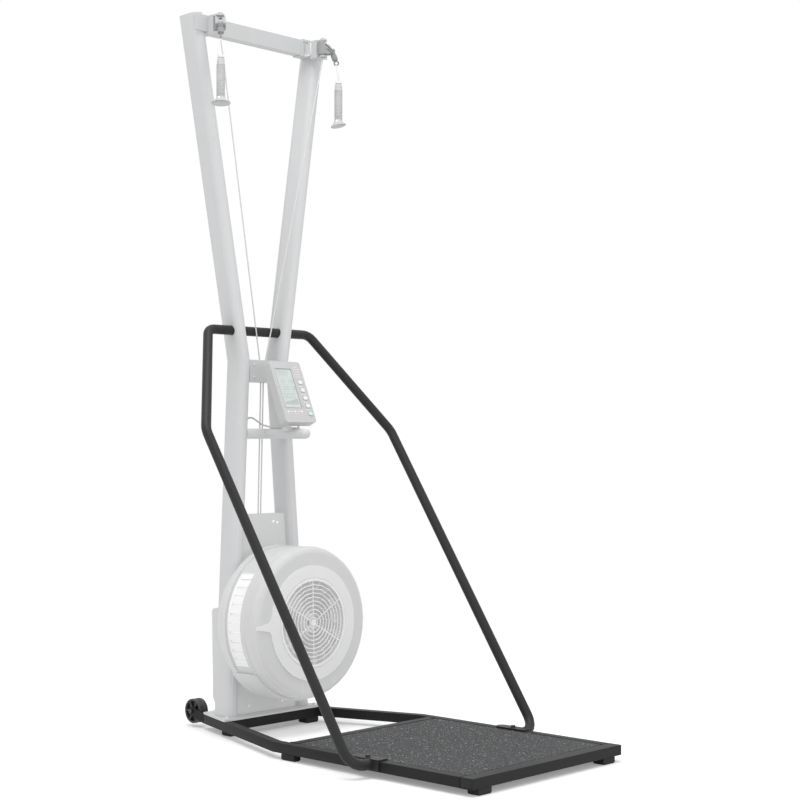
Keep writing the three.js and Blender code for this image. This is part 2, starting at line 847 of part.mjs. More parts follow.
// The box-section bar between the uprights' tops, open at its slanted ends.
function topCrossbar() {
  const { depth, wall } = crossbar;
  const atLow = innerX(crossbarLow) - seat;
  const atHigh = innerX(crossbarHigh) - seat;
  const outline = outlineOf([
    [-atLow, crossbarLow],
    [atLow, crossbarLow],
    [atHigh, crossbarHigh],
    [-atHigh, crossbarHigh],
  ]);
  const coreHalf = depth / 2 - wall;
  const [coreLow, coreHigh] = [crossbarLow + wall, crossbarHigh - wall];
  const core = block(-upright.topX, upright.topX, -coreHalf, coreHalf, coreLow, coreHigh);
  return leaned(cut(wallAcross(outline, -depth / 2, depth / 2), core));
}

// A block beside the right upright's inner face, with its end cut to the upright's slant.
function besideUpright(length, front, back, low, high) {
  const outline = outlineOf([
    [innerX(low) - length, low],
    [innerX(low) - seat, low],
    [innerX(high) - seat, high],
    [innerX(high) - length, high],
  ]);
  return wallAcross(outline, front, back);
}

const bracketPlane = -upright.depth / 2 - seat - topBracket.plate;

// The windowed sleeve round the crossbar's end with the web and the plate across the upright.
function bracketSleeve() {
  const low = crossbarLow - seat - topBracket.wall;
  const high = crossbarHigh + seat + topBracket.wall;
  const barHalf = crossbar.depth / 2 + seat;
  const half = barHalf + topBracket.wall;
  const sleeve = besideUpright(topBracket.sleeve, -half, half, low, high);
  const pocketEnd = innerX(high) + overrun;
  const pocket = block(0, pocketEnd, -barHalf, barHalf, crossbarLow - seat, crossbarHigh + seat);
  const middle = (low + high) / 2;
  const windowX = innerX(middle) - topBracket.sleeve + topBracket.windowInset;
  const windowHalf = topBracket.windowHeight / 2;
  const windowEnds = [middle - windowHalf, middle + windowHalf];
  const windowAcross = [windowX, windowX + topBracket.window];
  const window = block(...windowAcross, -half - overrun, -barHalf + bite, ...windowEnds);
  const web = besideUpright(topBracket.web, bracketPlane, -half + bite, headLow, upperEar);
  const plateEnds = [swivelX - topBracket.neckHalf, topBracket.outerX];
  const plateFront = bracketPlane + topBracket.plate;
  const plate = block(...plateEnds, bracketPlane, plateFront, headLow - bite, upperEar + topBracket.ear);
  return leaned(unite(cut(sleeve, pocket, window), web, plate));
}

// The bracket at an upright's top: the sleeve, and a level fork for the swivelling head.
function topBracketSolid(sign) {
  const root = tiltY(upright.topHeight) + bracketPlane + topBracket.plate / 2 + bite / 2;
  const ears = [bracketLow, upperEar].map((z) => {
    const plan = new THREE.Shape();
    plan.moveTo(swivelX - topBracket.neckHalf, root);
    plan.absarc(swivelX, -head.swivelReach, topBracket.earHalf, 2 * quarter, 4 * quarter);
    plan.lineTo(swivelX + topBracket.neckHalf, root);
    return slab(plan, z, z + topBracket.ear);
  });
  const neckFront = -head.swivelReach + head.halfWidth + bite;
  const neckEnds = [swivelX - topBracket.neckHalf, swivelX + topBracket.neckHalf];
  const neck = block(...neckEnds, neckFront, root, bracketLow, upperEar + topBracket.ear);
  const pinLow = headHigh - topBracket.pinDepth;
  const pinTop = upperEar + topBracket.ear;
  const pinPlace = [swivelX, -head.swivelReach, (pinLow + pinTop) / 2];
  const pin = bar('z', topBracket.pin, pinTop - pinLow, pinPlace, 16);
  const capPlace = [swivelX, -head.swivelReach, pinTop + topBracket.plate / 2 - bite / 2];
  const cap = bar('z', topBracket.pinHead, topBracket.plate + bite, capPlace, 6);
  const journalPlace = [swivelX, -head.swivelReach, bracketLow];
  const journal = bar('z', head.boss + running, 4 * topBracket.ear, journalPlace, 20);
  const fork = cut(unite(...ears, neck, pin, cap), journal);
  return mirrored(unite(bracketSleeve(), fork), sign);
}

function waistBox() {
  const { wall, halfWidth } = waist;
  const outer = block(-halfWidth, halfWidth, -waist.front, waist.back, waistLow, waistHigh);
  const innerEnds = [wall - waist.front, waist.back + overrun];
  const inner = block(wall - halfWidth, halfWidth - wall, ...innerEnds, waistLow + wall, waistHigh - wall);
  const pinFrom = -waist.front + wall / 2;
  const pinTo = -cord.waistReach + waistWheel.width / 2 + waist.post;
  const pins = sides.map(({ sign }) => {
    const middle = [sign * waistWheelX, (pinFrom + pinTo) / 2, waistWheelZ];
    return bar('y', waistWheel.bore - running, pinTo - pinFrom, middle, 16);
  });
  const slots = sides.flatMap(({ sign }) => {
    const upper = drivePath.at(waistHigh).x;
    const half = waist.slot / 2;
    const span = [-cord.waistReach - waist.slotDepth / 2, -cord.waistReach + waist.slotDepth / 2];
    const upperEnds = [waistHigh - wall - overrun, waistHigh + overrun];
    const lowerEnds = [waistLow - overrun, waistLow + wall + overrun];
    const lowerX = [sign * (cord.spacing - half / 2), sign * (cord.spacing + half / 2)];
    return [
      block(sign * (upper - half), sign * (upper + half), ...span, ...upperEnds),
      block(...lowerX, ...span, ...lowerEnds),
    ];
  });
  return unite(cut(outer, inner, ...slots), ...pins);
}

// Shape of the base between the uprights, drawn in x and z and drawn in by a margin.
function baseOutline(low, margin) {
  const high = base.top - margin;
  return outlineOf([
    [-innerX(low) + seat + margin, low],
    [innerX(low) - seat - margin, low],
    [innerX(high) - seat - margin, high],
    [-innerX(high) + seat + margin, high],
  ]);
}

// The base cover between the uprights: a closed box with a long boss that the shaft's end runs in.
function baseFrontPanel() {
  const { wall } = base;
  const low = towerFloor + seat;
  const outer = wallAcross(baseOutline(low - overrun, 0), -base.front, base.back);
  const inner = wallAcross(baseOutline(low + wall, wall), wall - base.front, base.back - wall);
  const bossBack = -base.front + bearing.width + seat;
  const bossPlace = [0, bossBack - bearing.width / 2, fan.height];
  const boss = bar('y', bearing.boss, bearing.width, bossPlace, 24);
  const bore = bar('y', shaft.radius + running, 4 * bearing.width, [0, -base.front, fan.height], 24);
  const holes = sides.map(({ sign }) => {
    const place = [sign * cord.spacing, -cord.footReach, base.top];
    return bar('z', 2 * cord.radius, 2 * overrun + 2 * wall, place, 12);
  });
  return cut(leaned(cut(unite(cut(outer, inner), boss), bore)), belowTower(), ...holes);
}

function rearHousing() {
  const front = base.back + seat;
  const back = front + rearBox.depth;
  const profile = outlineOf([
    [front, rearBox.low],
    [back - rearBox.depth / 2, rearBox.low],
    [back, rearBox.low + rearBox.chamfer],
    [back, rearBox.high - rearBox.round],
    [back - rearBox.round, rearBox.high],
    [front, rearBox.high],
  ]);
  return leaned(wallAlong(profile, -rearBox.halfWidth, rearBox.halfWidth));
}

function buildTower() {
  for (const { name, sign } of sides) {
    place(`upright_${name}`, uprightSolid(sign), 'tower');
    place(`top_bracket_${name}`, topBracketSolid(sign), 'tower');
  }
  place('tower_foot_plate', towerFootPlate(), 'tower');
  place('top_crossbar', topCrossbar(), 'tower');
  place('waist_pulley_box', waistBox(), 'shell');
  place('base_front_panel', baseFrontPanel(), 'shell');
  place('rear_housing', rearHousing(), 'shell');
}

// Cords and pulleys

// The right-hand drive cord: up from the base, round the waist pulley, then up and out to the head.
function driveCordPath() {
  const end = point(cord.spacing, -cord.footReach, base.top - cord.inBase);
  const entry = point(swivelX, -head.swivelReach, bracketLow);
  const guess = Math.atan((swivelX - cord.spacing) / (entry.z - waistWheelZ));
  const cornerZ = waistWheelZ + waistWheel.cordCentre * Math.tan(guess / 2);
  const corner = point(cord.spacing, -cord.waistReach, cornerZ);
  const top = entry.clone().setZ(headWheelZ);
  const at = (height) => corner.clone().lerp(entry, (height - corner.z) / (entry.z - corner.z));
  return { corners: [end, corner, entry, top], at };
}
const drivePath = driveCordPath();

function driveCord(sign) {
  const bends = [waistWheel.cordCentre, headWheel.radius];
  return mirrored(tube(drivePath.corners, cord.radius, bends, 4, 8), sign);
}

// A grooved pulley turned about the y axis, centred on its own origin.
function groovedPulley(size) {
  const half = size.width / 2;
  const lip = half / 5;
  const floor = half / 2.2;
  return turned(
    [
      [size.bore, -half],
      [size.radius, -half],
      [size.radius, -half + lip],
      [size.groove, -floor],
      [size.groove, floor],
      [size.radius, half - lip],
      [size.radius, half],
      [size.bore, half],
    ],
    18,
  );
}

// Each pull is built about its own swivel: x across it, -y the way it points, z up.
const exitAngle = head.exitShare * quarter;
const exitWay = point(0, -Math.sin(exitAngle), -Math.cos(exitAngle));
const exitStart = point(
  0,
  -headWheel.cordCentre * (1 + Math.cos(exitAngle)),
  headWheelZ + headWheel.cordCentre * Math.sin(exitAngle),
);
const exitAt = (length) => exitStart.clone().addScaledVector(exitWay, length);

// A turned solid on the cord's way out; each point is a radius and a length along that way.
function onExit(points, segments) {
  const body = turned(points, segments).rotate(THREE.MathUtils.radToDeg(-quarter), 0, 0);
  const degrees = THREE.MathUtils.radToDeg(-exitAngle);
  return body.rotate(degrees, 0, 0).translate(...exitStart.toArray());
}

const noseEnd = nose.start + nose.ribs * nose.rib;

// The ribbed collar that the cord leaves through.
function cordNose() {
  const profile = [[0, nose.start - nose.rib], [nose.radius, nose.start - nose.rib]];
  for (let i = 0; i < nose.ribs; i += 1) {
    const start = nose.start + i * nose.rib;
    const radius = nose.radius - i * nose.taper;
    const neck = radius - nose.groove;
    const ribEnd = start + nose.rib / 2;
    profile.push([radius, ribEnd], [neck, ribEnd], [neck, start + nose.rib]);
  }
  profile.push([0, noseEnd]);
  return onExit(profile, 16);
}

// Side view of the head: a flat crown, a sloping brow and a short jaw.
function headOutline() {
  const places = [
    [head.halfWidth, 0],
    [head.halfWidth, head.height],
    [-head.brow + head.browDrop, head.height],
    [-head.brow, head.height - head.browDrop],
    [-head.chinReach, head.chinHeight],
    [-head.chinReach, head.chinHeight / 2],
    [-head.jawReach, 0],
  ];
  return outlineOf(places.map(([y, rise]) => [y, headLow + rise]));
}

// A slot through the head along its brow, at a depth below it.
function browSlot(depth) {
  const brow = new THREE.Vector2(-head.brow, headLow + head.height - head.browDrop);
  const chin = new THREE.Vector2(-head.chinReach, headLow + head.chinHeight);
  const along = chin.sub(brow).normalize();
  const inward = new THREE.Vector2(-along.y, along.x);
  const corner = (length, deep) => {
    const place = brow.clone().addScaledVector(along, length).addScaledVector(inward, deep);
    return [place.x, place.y];
  };
  const start = head.finStart + 2 * (depth - head.finPitch);
  const outline = outlineOf([
    corner(start, depth),
    corner(head.finLength, depth),
    corner(head.finLength, depth - head.finSlot),
    corner(start, depth - head.finSlot),
  ]);
  return wallAlong(outline, -2 * head.halfWidth, 2 * head.halfWidth);
}

// Room inside the head for its pulley and for the cord's way in and out.
function headHollows() {
  const half = head.slot / 2;
  const reach = headWheel.cordCentre + headWheel.radius + 2 * bite;
  const slotTop = headWheelZ + headWheel.radius + 2 * bite;
  const back = cord.radius + running + bite;
  return [
    block(-half, half, -reach, back, headLow - bite, slotTop),
    bar('z', head.cordHole, head.height, [0, 0, headLow], 12),
    bar('z', topBracket.pin + running, 2 * (topBracket.pinDepth + bite), [0, 0, headHigh], 12),
  ];
}

// The swivelling head: a hooded block, open below for its pulley, with its neck and cord nose.
function pullHead() {
  const plan = new THREE.Shape();
  plan.absarc(0, 0, head.halfWidth, 0, 2 * quarter);
  plan.lineTo(-head.halfWidth, -head.chinReach - overrun);
  plan.lineTo(head.halfWidth, -head.chinReach - overrun);
  const side = wallAlong(headOutline(), -head.halfWidth - overrun, head.halfWidth + overrun);
  const body = slab(plan, headLow, headHigh).intersect(side);
  const fins = [];
  for (let i = 1; i <= head.fins; i += 1) fins.push(browSlot(i * head.finPitch));
  const neckLow = bracketLow + seat;
  const neckHeight = headLow + bite - neckLow;
  const neck = bar('z', head.boss, neckHeight, [0, 0, neckLow + neckHeight / 2], 16);
  const boreEnd = noseEnd + bite;
  const bore = onExit([[0, -nose.rib], [nose.bore, -nose.rib], [nose.bore, boreEnd], [0, boreEnd]], 12);
  const hollow = cut(unite(cut(body, ...fins), neck, cordNose()), bore, ...headHollows());
  const pin = bar('x', head.pin, head.slot + 2 * bite, [0, -headWheel.cordCentre, headWheelZ], 12);
  return unite(hollow, pin);
}

// The cord stopper and its link, with the two strands that carry the handle.
function handleCord() {
  const start = noseEnd + seat;
  const end = start + stopper.length;
  const small = stopper.radius * stopper.endShare;
  const ball = onExit(
    [
      [0, start],
      [small, start],
      [stopper.radius, start + stopper.shoulder],
      [stopper.radius, end - stopper.shoulder],
      [small, end],
      [0, end],
    ],
    14,
  );
  const ringGeometry = new THREE.TorusGeometry(link.radius, link.thick, 6, 14).rotateY(quarter);
  const ringPlace = exitAt(end + link.radius + link.thick / 2);
  const ring = solid(ringGeometry.translate(...ringPlace.toArray()));
  const below = exitAt(end + 2 * link.radius + link.thick / 2);
  const strands = sides.map(({ sign }) => {
    const corners = [
      below,
      point((sign * strap.spread) / 2, below.y, below.z - strap.splay),
      point(sign * strap.spread, -handle.reach, handleTop + strap.knotHeight + strap.splay),
      point(sign * strap.spread, -handle.reach, handleTop + seat + strap.knotHeight / 2),
    ];
    return tube(corners, strap.radius, [strap.bend, strap.bend], 3, 6);
  });
  const capPlace = [0, -handle.reach, handleTop + seat + strap.knotHeight / 2];
  const cap = bar('z', strap.cap, strap.knotHeight, capPlace, 14);
  return unite(ball, ring, ...strands, cap);
}

// The grip with its flared foot and the flat lip below it.
function pullHandle() {
  const low = handleTop - handle.length;
  const flareTop = low + handle.flareLength;
  const profile = [
    [0, low + handle.lipThickness],
    [handle.flare, low + handle.lipThickness],
    [handle.flareEdge, low + handle.flareRise],
    [handle.waist, flareTop],
    [handle.radius, (flareTop + handleTop) / 2],
    [handle.waist, handleTop - handle.neckHeight],
    [handle.neck, handleTop],
    [0, handleTop],
  ];
  const upwards = THREE.MathUtils.radToDeg(quarter);
  const grip = turned(profile, 18).rotate(upwards, 0, 0).translate(0, -handle.reach, 0);
  const outline = new THREE.Shape();
  outline.absellipse(0, 0, handle.lip, handle.lipWidth, 0, 4 * quarter);
  const degrees = THREE.MathUtils.radToDeg(-handle.lipTiltShare * quarter);
  const lip = slab(outline, -handle.lipThickness / 2, handle.lipThickness / 2, 12).rotate(degrees, 0, 0);
  return unite(grip, lip.translate(0, -handle.reach, low + handle.lipThickness + bite));
}

function buildPulls() {
  for (const { name, sign } of sides) {
    const pull = new THREE.Group();
    pull.position.set(sign * swivelX, -head.swivelReach, 0);
    pull.rotation.z = sign * head.toeShare * quarter;
    machine.add(pull);
    place(`pulley_head_${name}`, pullHead(), 'tower', pull);
    place(`handle_cord_${name}`, handleCord(), 'cord', pull);
    place(`handle_${name}`, pullHandle(), 'shell', pull);
    const headPulley = place(`head_pulley_${name}`, groovedPulley(headWheel), 'steel', pull);
    headPulley.rotation.z = quarter;
    headPulley.position.set(0, -headWheel.cordCentre, headWheelZ);
    place(`drive_cord_${name}`, driveCord(sign), 'cord');
    const waistPulley = place(`waist_pulley_${name}`, groovedPulley(waistWheel), 'steel');
    waistPulley.position.set(sign * waistWheelX, -cord.waistReach, waistWheelZ);
  }
}

// Fan brake, built about its own axis, which is y

const fanGroup = new THREE.Group();
const fanDrop = tilt.pivot - fan.height;
fanGroup.position.set(0, -fanDrop * Math.sin(tiltAngle), tilt.pivot - fanDrop * Math.cos(tiltAngle));
fanGroup.rotation.x = -tiltAngle;
machine.add(fanGroup);

// A ring sector drawn in x and z about the fan's axis, either side of an angle.
function sector(inner, outer, middle, half) {
  const shape = new THREE.Shape();
  shape.absarc(0, 0, outer, middle - half, middle + half);
  shape.absarc(0, 0, inner, middle + half, middle - half, true);
  return shape;
}

// The back shell: a dish with a bearing boss, a deep rim and a lip under the drum.
function fanHousingBack() {
  const back = -fan.back - seat;
  const wallFront = back - shell.wall;
  const rimBack = back - shell.taper;
  const rimFront = rimBack - shell.rimDepth;
  const profile = [
    [bearing.outer + seat, back],
    [shell.backRadius, back],
    [shell.rimRadius, rimBack],
    [shell.rimRadius, rimFront],
    [fan.radius + seat, rimFront],
    [fan.radius + seat, rimBack - bite],
    [shell.backRadius - shell.wall, wallFront],
    [bearing.boss, wallFront],
    [bearing.boss, wallFront - bearing.width],
    [bearing.outer + seat, wallFront - bearing.width],
  ];
  const dish = turned(profile, shell.segments);
  const lipInner = fan.radius + shell.rib + bite;
  const lipOutline = sector(lipInner, shell.lipRadius, -quarter, shell.lipShare * quarter);
  const lip = wallAcross(lipOutline, back - shell.lipDepth, rimBack - shell.wall, 7);
  return unite(dish, lip);
}

const drumBack = -fan.back - shell.taper - 2 * seat - shell.wall;
const faceFront = -fan.front + shell.faceBack;

// The drum: side wall with two raised ribs and side windows, and the front face with its mouth.
function fanHousingFront() {
  const outer = fan.radius;
  const inner = outer - shell.wall;
  const depth = drumBack - faceFront;
  const ribs = shell.ribShares.flatMap((share) => {
    const y = drumBack - depth * share;
    return [
      [outer, y + shell.rib],
      [outer + shell.rib, y],
      [outer + shell.rib, y - shell.ribWidth],
      [outer, y - shell.ribWidth - shell.rib],
    ];
  });
  const shoulder = faceFront + shell.shoulder;
  const profile = [
    [outer, drumBack],
    ...ribs,
    [outer, shoulder],
    [outer - shell.shoulder / 6, faceFront + shell.shoulder / 2.6],
    [outer - shell.shoulder / 2, faceFront + shell.shoulder / 10],
    [outer - shell.shoulder, faceFront],
    [shell.mouth, faceFront],
    [shell.mouth, faceFront + shell.face],
    [inner - shell.shoulder, faceFront + shell.face],
    [inner, shoulder],
    [inner, drumBack],
  ];
  const drum = turned(profile, shell.segments);
  const windows = sides.map(({ sign }) => {
    const rise = shell.windowRiseShare * quarter;
    const middle = sign > 0 ? rise : 2 * quarter - rise;
    const outline = sector(inner - overrun, outer + overrun, middle, shell.windowShare * quarter);
    return wallAcross(outline, -shell.windowFront, -shell.windowBack, 8);
  });
  return cut(drum, ...windows);
}

// The vent band inside the drum's windows, pierced by upright slots.
function fanSideScreen() {
  const outer = fan.radius - shell.wall - seat;
  const inner = outer - screen.thickness;
  const front = -shell.windowFront - overrun;
  const back = -shell.windowBack + overrun;
  const band = turned([[inner, front], [outer, front], [outer, back], [inner, back]], shell.segments);
  const ends = [-shell.windowFront + screen.margin, -shell.windowBack - screen.margin];
  const spread = 2 * (shell.windowShare - screen.endShare) * quarter;
  const slots = sides.flatMap(({ sign }) => {
    const cuts = [];
    for (let i = 0; i < screen.slots; i += 1) {
      const share = (i + 0.5) / screen.slots - 0.5;
      const across = [sign * (inner - overrun), sign * (outer + overrun)];
      const slot = block(...across, ...ends, -screen.slot / 2, screen.slot / 2);
      const rise = shell.windowRiseShare * quarter + share * spread;
      cuts.push(slot.rotate(0, THREE.MathUtils.radToDeg(-sign * rise), 0));
    }
    return cuts;
  });
  return cut(band, ...slots);
}

// The light damper ring with its pointed lever.
function damperRing() {
  const back = faceFront - seat;
  const front = back - damper.thickness;
  const section = [
    [damper.inner, front],
    [damper.outer, front],
    [damper.outer, back],
    [damper.inner, back],
  ];
  const ring = turned(section, shell.segments);
  const root = -damper.outer + overrun;
  const neck = -(damper.outer + damper.leverReach) / 2;
  const lever = outlineOf([
    [root, -damper.leverRoot],
    [root, damper.leverRoot],
    [-damper.outer - overrun, damper.leverRoot / 2],
    [neck, damper.leverNeck],
    [-damper.leverReach, damper.leverTip],
    [-damper.leverReach, -damper.leverTip],
    [neck, -damper.leverNeck],
    [-damper.outer - overrun, -damper.leverRoot / 2],
  ]);
  return unite(ring, wallAcross(lever, front, back));
}

// The grille: concentric bars and spokes inside a hoop that sits on the face round the mouth.
function fanGrille() {
  const back = faceFront - seat;
  const front = back - damper.thickness - seat;
  const outer = damper.inner * Math.cos((2 * quarter) / shell.segments) - running;
  const inner = outer - grille.hoop;
  const hoop = turned([[inner, front], [outer, front], [outer, back], [inner, back]], shell.segments);
  const pitch = (inner - grille.first) / grille.rings;
  const barBack = front + grille.depth;
  const rings = [];
  for (let i = 0; i < grille.rings; i += 1) {
    const r0 = grille.first + i * pitch;
    const r1 = r0 + grille.bar;
    const segments = 12 + 2 * Math.round(r0 / (2 * grille.first));
    rings.push(turned([[r0, front], [r1, front], [r1, barBack], [r0, barBack]], segments));
  }
  const spokes = [];
  for (let i = 0; i < grille.spokes; i += 1) {
    const ends = [front + grille.depth / 3, back - bite];
    const spoke = block(0, inner + bite, ...ends, -grille.bar / 2, grille.bar / 2);
    spokes.push(spoke.rotate(0, 90 + (360 * i) / grille.spokes, 0));
  }
  const boss = bar('y', grille.boss, back - front, [0, (front + back) / 2, 0], 20);
  return unite(hoop, boss, ...rings, ...spokes);
}

// The bladed wheel that the cords drive.
function fanWheel() {
  const discFront = -blower.back - blower.disc;
  const hub = turned(
    [
      [shaft.radius + seat, -blower.front],
      [blower.hub, -blower.front],
      [blower.hub, discFront],
      [blower.radius, discFront],
      [blower.radius, -blower.back],
      [shaft.radius + seat, -blower.back],
    ],
    32,
  );
  const blades = [];
  for (let i = 0; i < blower.blades; i += 1) {
    const sweep = blower.sweepShare * quarter;
    const length = (blower.radius - blower.inner) / Math.cos(sweep);
    const half = blower.blade / 2;
    const blade = block(0, length, -blower.front, discFront + bite, -half, half);
    const swept = blade.rotate(0, THREE.MathUtils.radToDeg(sweep), 0).translate(blower.inner, 0, 0);
    blades.push(swept.rotate(0, (360 * i) / blower.blades, 0));
  }
  const trimFront = -blower.front - overrun;
  const trim = turned([[0, trimFront], [blower.radius, trimFront], [blower.radius, 0], [0, 0]], 32);
  return unite(hub, ...blades).intersect(trim);
}

function fanShaft() {
  const front = -shaft.front;
  const back = shaft.back;
  return bar('y', shaft.radius, back - front, [0, (back + front) / 2, 0], 20);
}

function fanBearing() {
  const middle = -fan.back - seat - shell.wall - bearing.width / 2;
  const front = middle - bearing.width / 2 + seat;
  const back = middle + bearing.width / 2 - seat;
  const inner = shaft.radius + seat;
  return turned([[inner, front], [bearing.outer, front], [bearing.outer, back], [inner, back]], 24);
}

function buildFan() {
  place('fan_housing_back', fanHousingBack(), 'shell', fanGroup);
  place('fan_housing_front', fanHousingFront(), 'shell', fanGroup);
  place('fan_side_screen', fanSideScreen(), 'light', fanGroup);
  place('damper_ring', damperRing(), 'light', fanGroup);
  place('fan_grille', fanGrille(), 'light', fanGroup);
  place('fan_wheel', fanWheel(), 'shell', fanGroup);
  place('fan_shaft', fanShaft(), 'steel', fanGroup);
  place('fan_bearing', fanBearing(), 'steel', fanGroup);
}

// Monitor. Its group has x across, y down from the middle of the face and z out of the face.

const lean = monitor.leanShare * quarter;
const faceMiddle = point(0, -monitor.reach, armHeight + monitor.rise);
const downWay = point(0, -Math.sin(lean), -Math.cos(lean));
const outWay = point(0, -Math.cos(lean), Math.sin(lean));
const hingePoint = faceMiddle.clone();
hingePoint.addScaledVector(downWay, hinge.down).addScaledVector(outWay, -hinge.behind);

const monitorGroup = new THREE.Group();
monitorGroup.position.copy(faceMiddle);
monitorGroup.quaternion.setFromRotationMatrix(
  new THREE.Matrix4().makeBasis(point(-1, 0, 0), downWay, outWay),
);
machine.add(monitorGroup);

// The arm: a tube between the uprights, a forward tube with a round end, and the hinge ears on it.
function monitorArm() {
  const half = uprightX(armHeight) - upright.thickness / 4;
  const across = bar('x', armTube.radius, 2 * half, [0, -armTube.setForward, armHeight], 16);
  const tipY = armTube.radius - armTube.reach;
  const outLength = -armTube.setForward - tipY;
  const out = bar('y', armTube.radius, outLength, [0, tipY + outLength / 2, armHeight], 16);
  const tipGeometry = new THREE.SphereGeometry(armTube.radius, 16, 8).rotateX(quarter);
  const tip = solid(tipGeometry.translate(0, tipY, armHeight));
  const y = hingePoint.y;
  const saddle = block(
    -hinge.halfWidth - hinge.ear - seat,
    hinge.halfWidth + hinge.ear + seat,
    y - hinge.saddle / 2,
    y + hinge.saddle / 2,
    armHeight + armTube.radius / 2,
    armHeight + armTube.radius + hinge.ear,
  );
  const ears = sides.map(({ sign }) => {
    const outline = new THREE.Shape();
    outline.moveTo(y + hinge.saddle / 2, armHeight + armTube.radius);
    outline.absarc(y, hingePoint.z, hinge.radius, 0, 2 * quarter);
    outline.lineTo(y - hinge.saddle / 2, armHeight + armTube.radius);
    const near = hinge.halfWidth + seat;
    const span = sign > 0 ? [near, near + hinge.ear] : [-near - hinge.ear, -near];
    return wallAlong(outline, ...span);
  });
  const pinLength = 2 * (hinge.halfWidth + seat) + hinge.ear;
  const pin = bar('x', hinge.pin, pinLength, [0, y, hingePoint.z], 16);
  const coped = cut(across, ...sides.map(({ sign }) => mirrored(uprightBar(seat, 0), sign)));
  return unite(coped, out, tip, saddle, ...ears, pin);
}

// Places of the keys on the face: x to the user's right, and the distance down.
function keyPlaces() {
  const places = [];
  for (let i = 0; i < key.count; i += 1) {
    places.push({ x: key.firstX + i * key.slantShare * key.pitch, down: key.firstDown + i * key.pitch });
  }
  return places;
}

// The case: a rounded box with the display window, key wells and the hinge knuckle below.
function monitorCase() {
  const { width, height, thickness, corner } = monitor;
  const outline = roundedRectangle(-width / 2, width / 2, -height / 2, height / 2, corner);
  const body = slab(outline, -thickness, 0, 3);
  const window = block(
    -display.right - seat,
    display.left + seat,
    -display.top - seat,
    display.bottom + seat,
    -display.recess - display.thickness,
    overrun,
  );
  const wells = keyPlaces().map(({ x, down }) => {
    const [w, h] = [key.width / 2 + seat, key.height / 2 + seat];
    return block(-x - w, -x + w, down - h, down + h, -key.depth - bite - seat, overrun);
  });
  const knuckle = bar('x', hinge.radius, 2 * hinge.halfWidth, [0, hinge.down, -hinge.behind], 20);
  const webTop = hinge.down - hinge.radius;
  const webLow = hinge.down + hinge.radius;
  const webEnds = [-hinge.behind, -thickness + hinge.sink];
  const web = block(-hinge.halfWidth, hinge.halfWidth, webTop, webLow, ...webEnds);
  const bore = bar('x', hinge.pin + running, 4 * hinge.halfWidth, [0, hinge.down, -hinge.behind], 16);
  return cut(unite(body, knuckle, web), window, bore, ...wells);
}

function buildMonitor() {
  place('monitor_arm', monitorArm(), 'tower');
  place('monitor_case', monitorCase(), 'shell', monitorGroup);
  const glassBack = -display.recess - display.thickness + seat;
  const glassFront = -display.recess + seat;
  const across = [-display.right, display.left];
  const glass = block(...across, -display.top, display.bottom, glassBack, glassFront);
  place('monitor_screen', glass, 'glass', monitorGroup);
  keyPlaces().forEach(({ x, down }, i) => {
    const [halfX, halfY] = [key.width / 2, key.height / 2];
    const cap = roundedRectangle(-halfX, halfX, -halfY, halfY, key.height / 3);
    const isStart = i === key.count - 1;
    const name = isStart ? 'key_start' : `key_${i + 1}`;
    const mesh = place(name, slab(cap, -key.depth, key.proud, 2), isStart ? 'start' : 'key', monitorGroup);
    mesh.position.set(-x, down, 0);
  });
}

// The monitor lead: out of the left upright, over in a low arch and down onto the arm.
function monitorLead() {
  const wallX = -innerX(armHeight + 3 * armTube.radius) + 2 * seat;
  const onTube = armHeight + armTube.radius + lead.radius + seat;
  const corners = [
    point(wallX, 0, onTube + armTube.radius),
    point(wallX * lead.startShare, -armTube.setForward / 3, onTube + lead.rise),
    point(wallX * lead.crossShare, -armTube.setForward, onTube),
    point(-lead.radius, -armTube.setForward - 2 * armTube.radius, onTube),
    point(0, hingePoint.y + hinge.saddle / 2 + seat, onTube),
  ];
  return tube(corners, lead.radius, [armTube.radius, armTube.radius, armTube.radius], 3, 8);
}

buildStand();
buildWheels();
buildRails();
buildTower();
buildPulls();
buildFan();
buildMonitor();
place('monitor_lead', monitorLead(), 'shell');

// The origin is on the floor under the middle of the whole machine.
machine.position.y = (stand.frontReach - wheel.reach - wheel.radius) / 2;
const group = new THREE.Group();
group.add(machine);

export default group;
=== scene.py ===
import json
import math

import bmesh
import bpy
from bpy.props import FloatProperty, FloatVectorProperty, IntProperty, PointerProperty
from bpy.types import Operator, Panel, PropertyGroup
from mathutils import Matrix, Vector
from mathutils.bvhtree import BVHTree

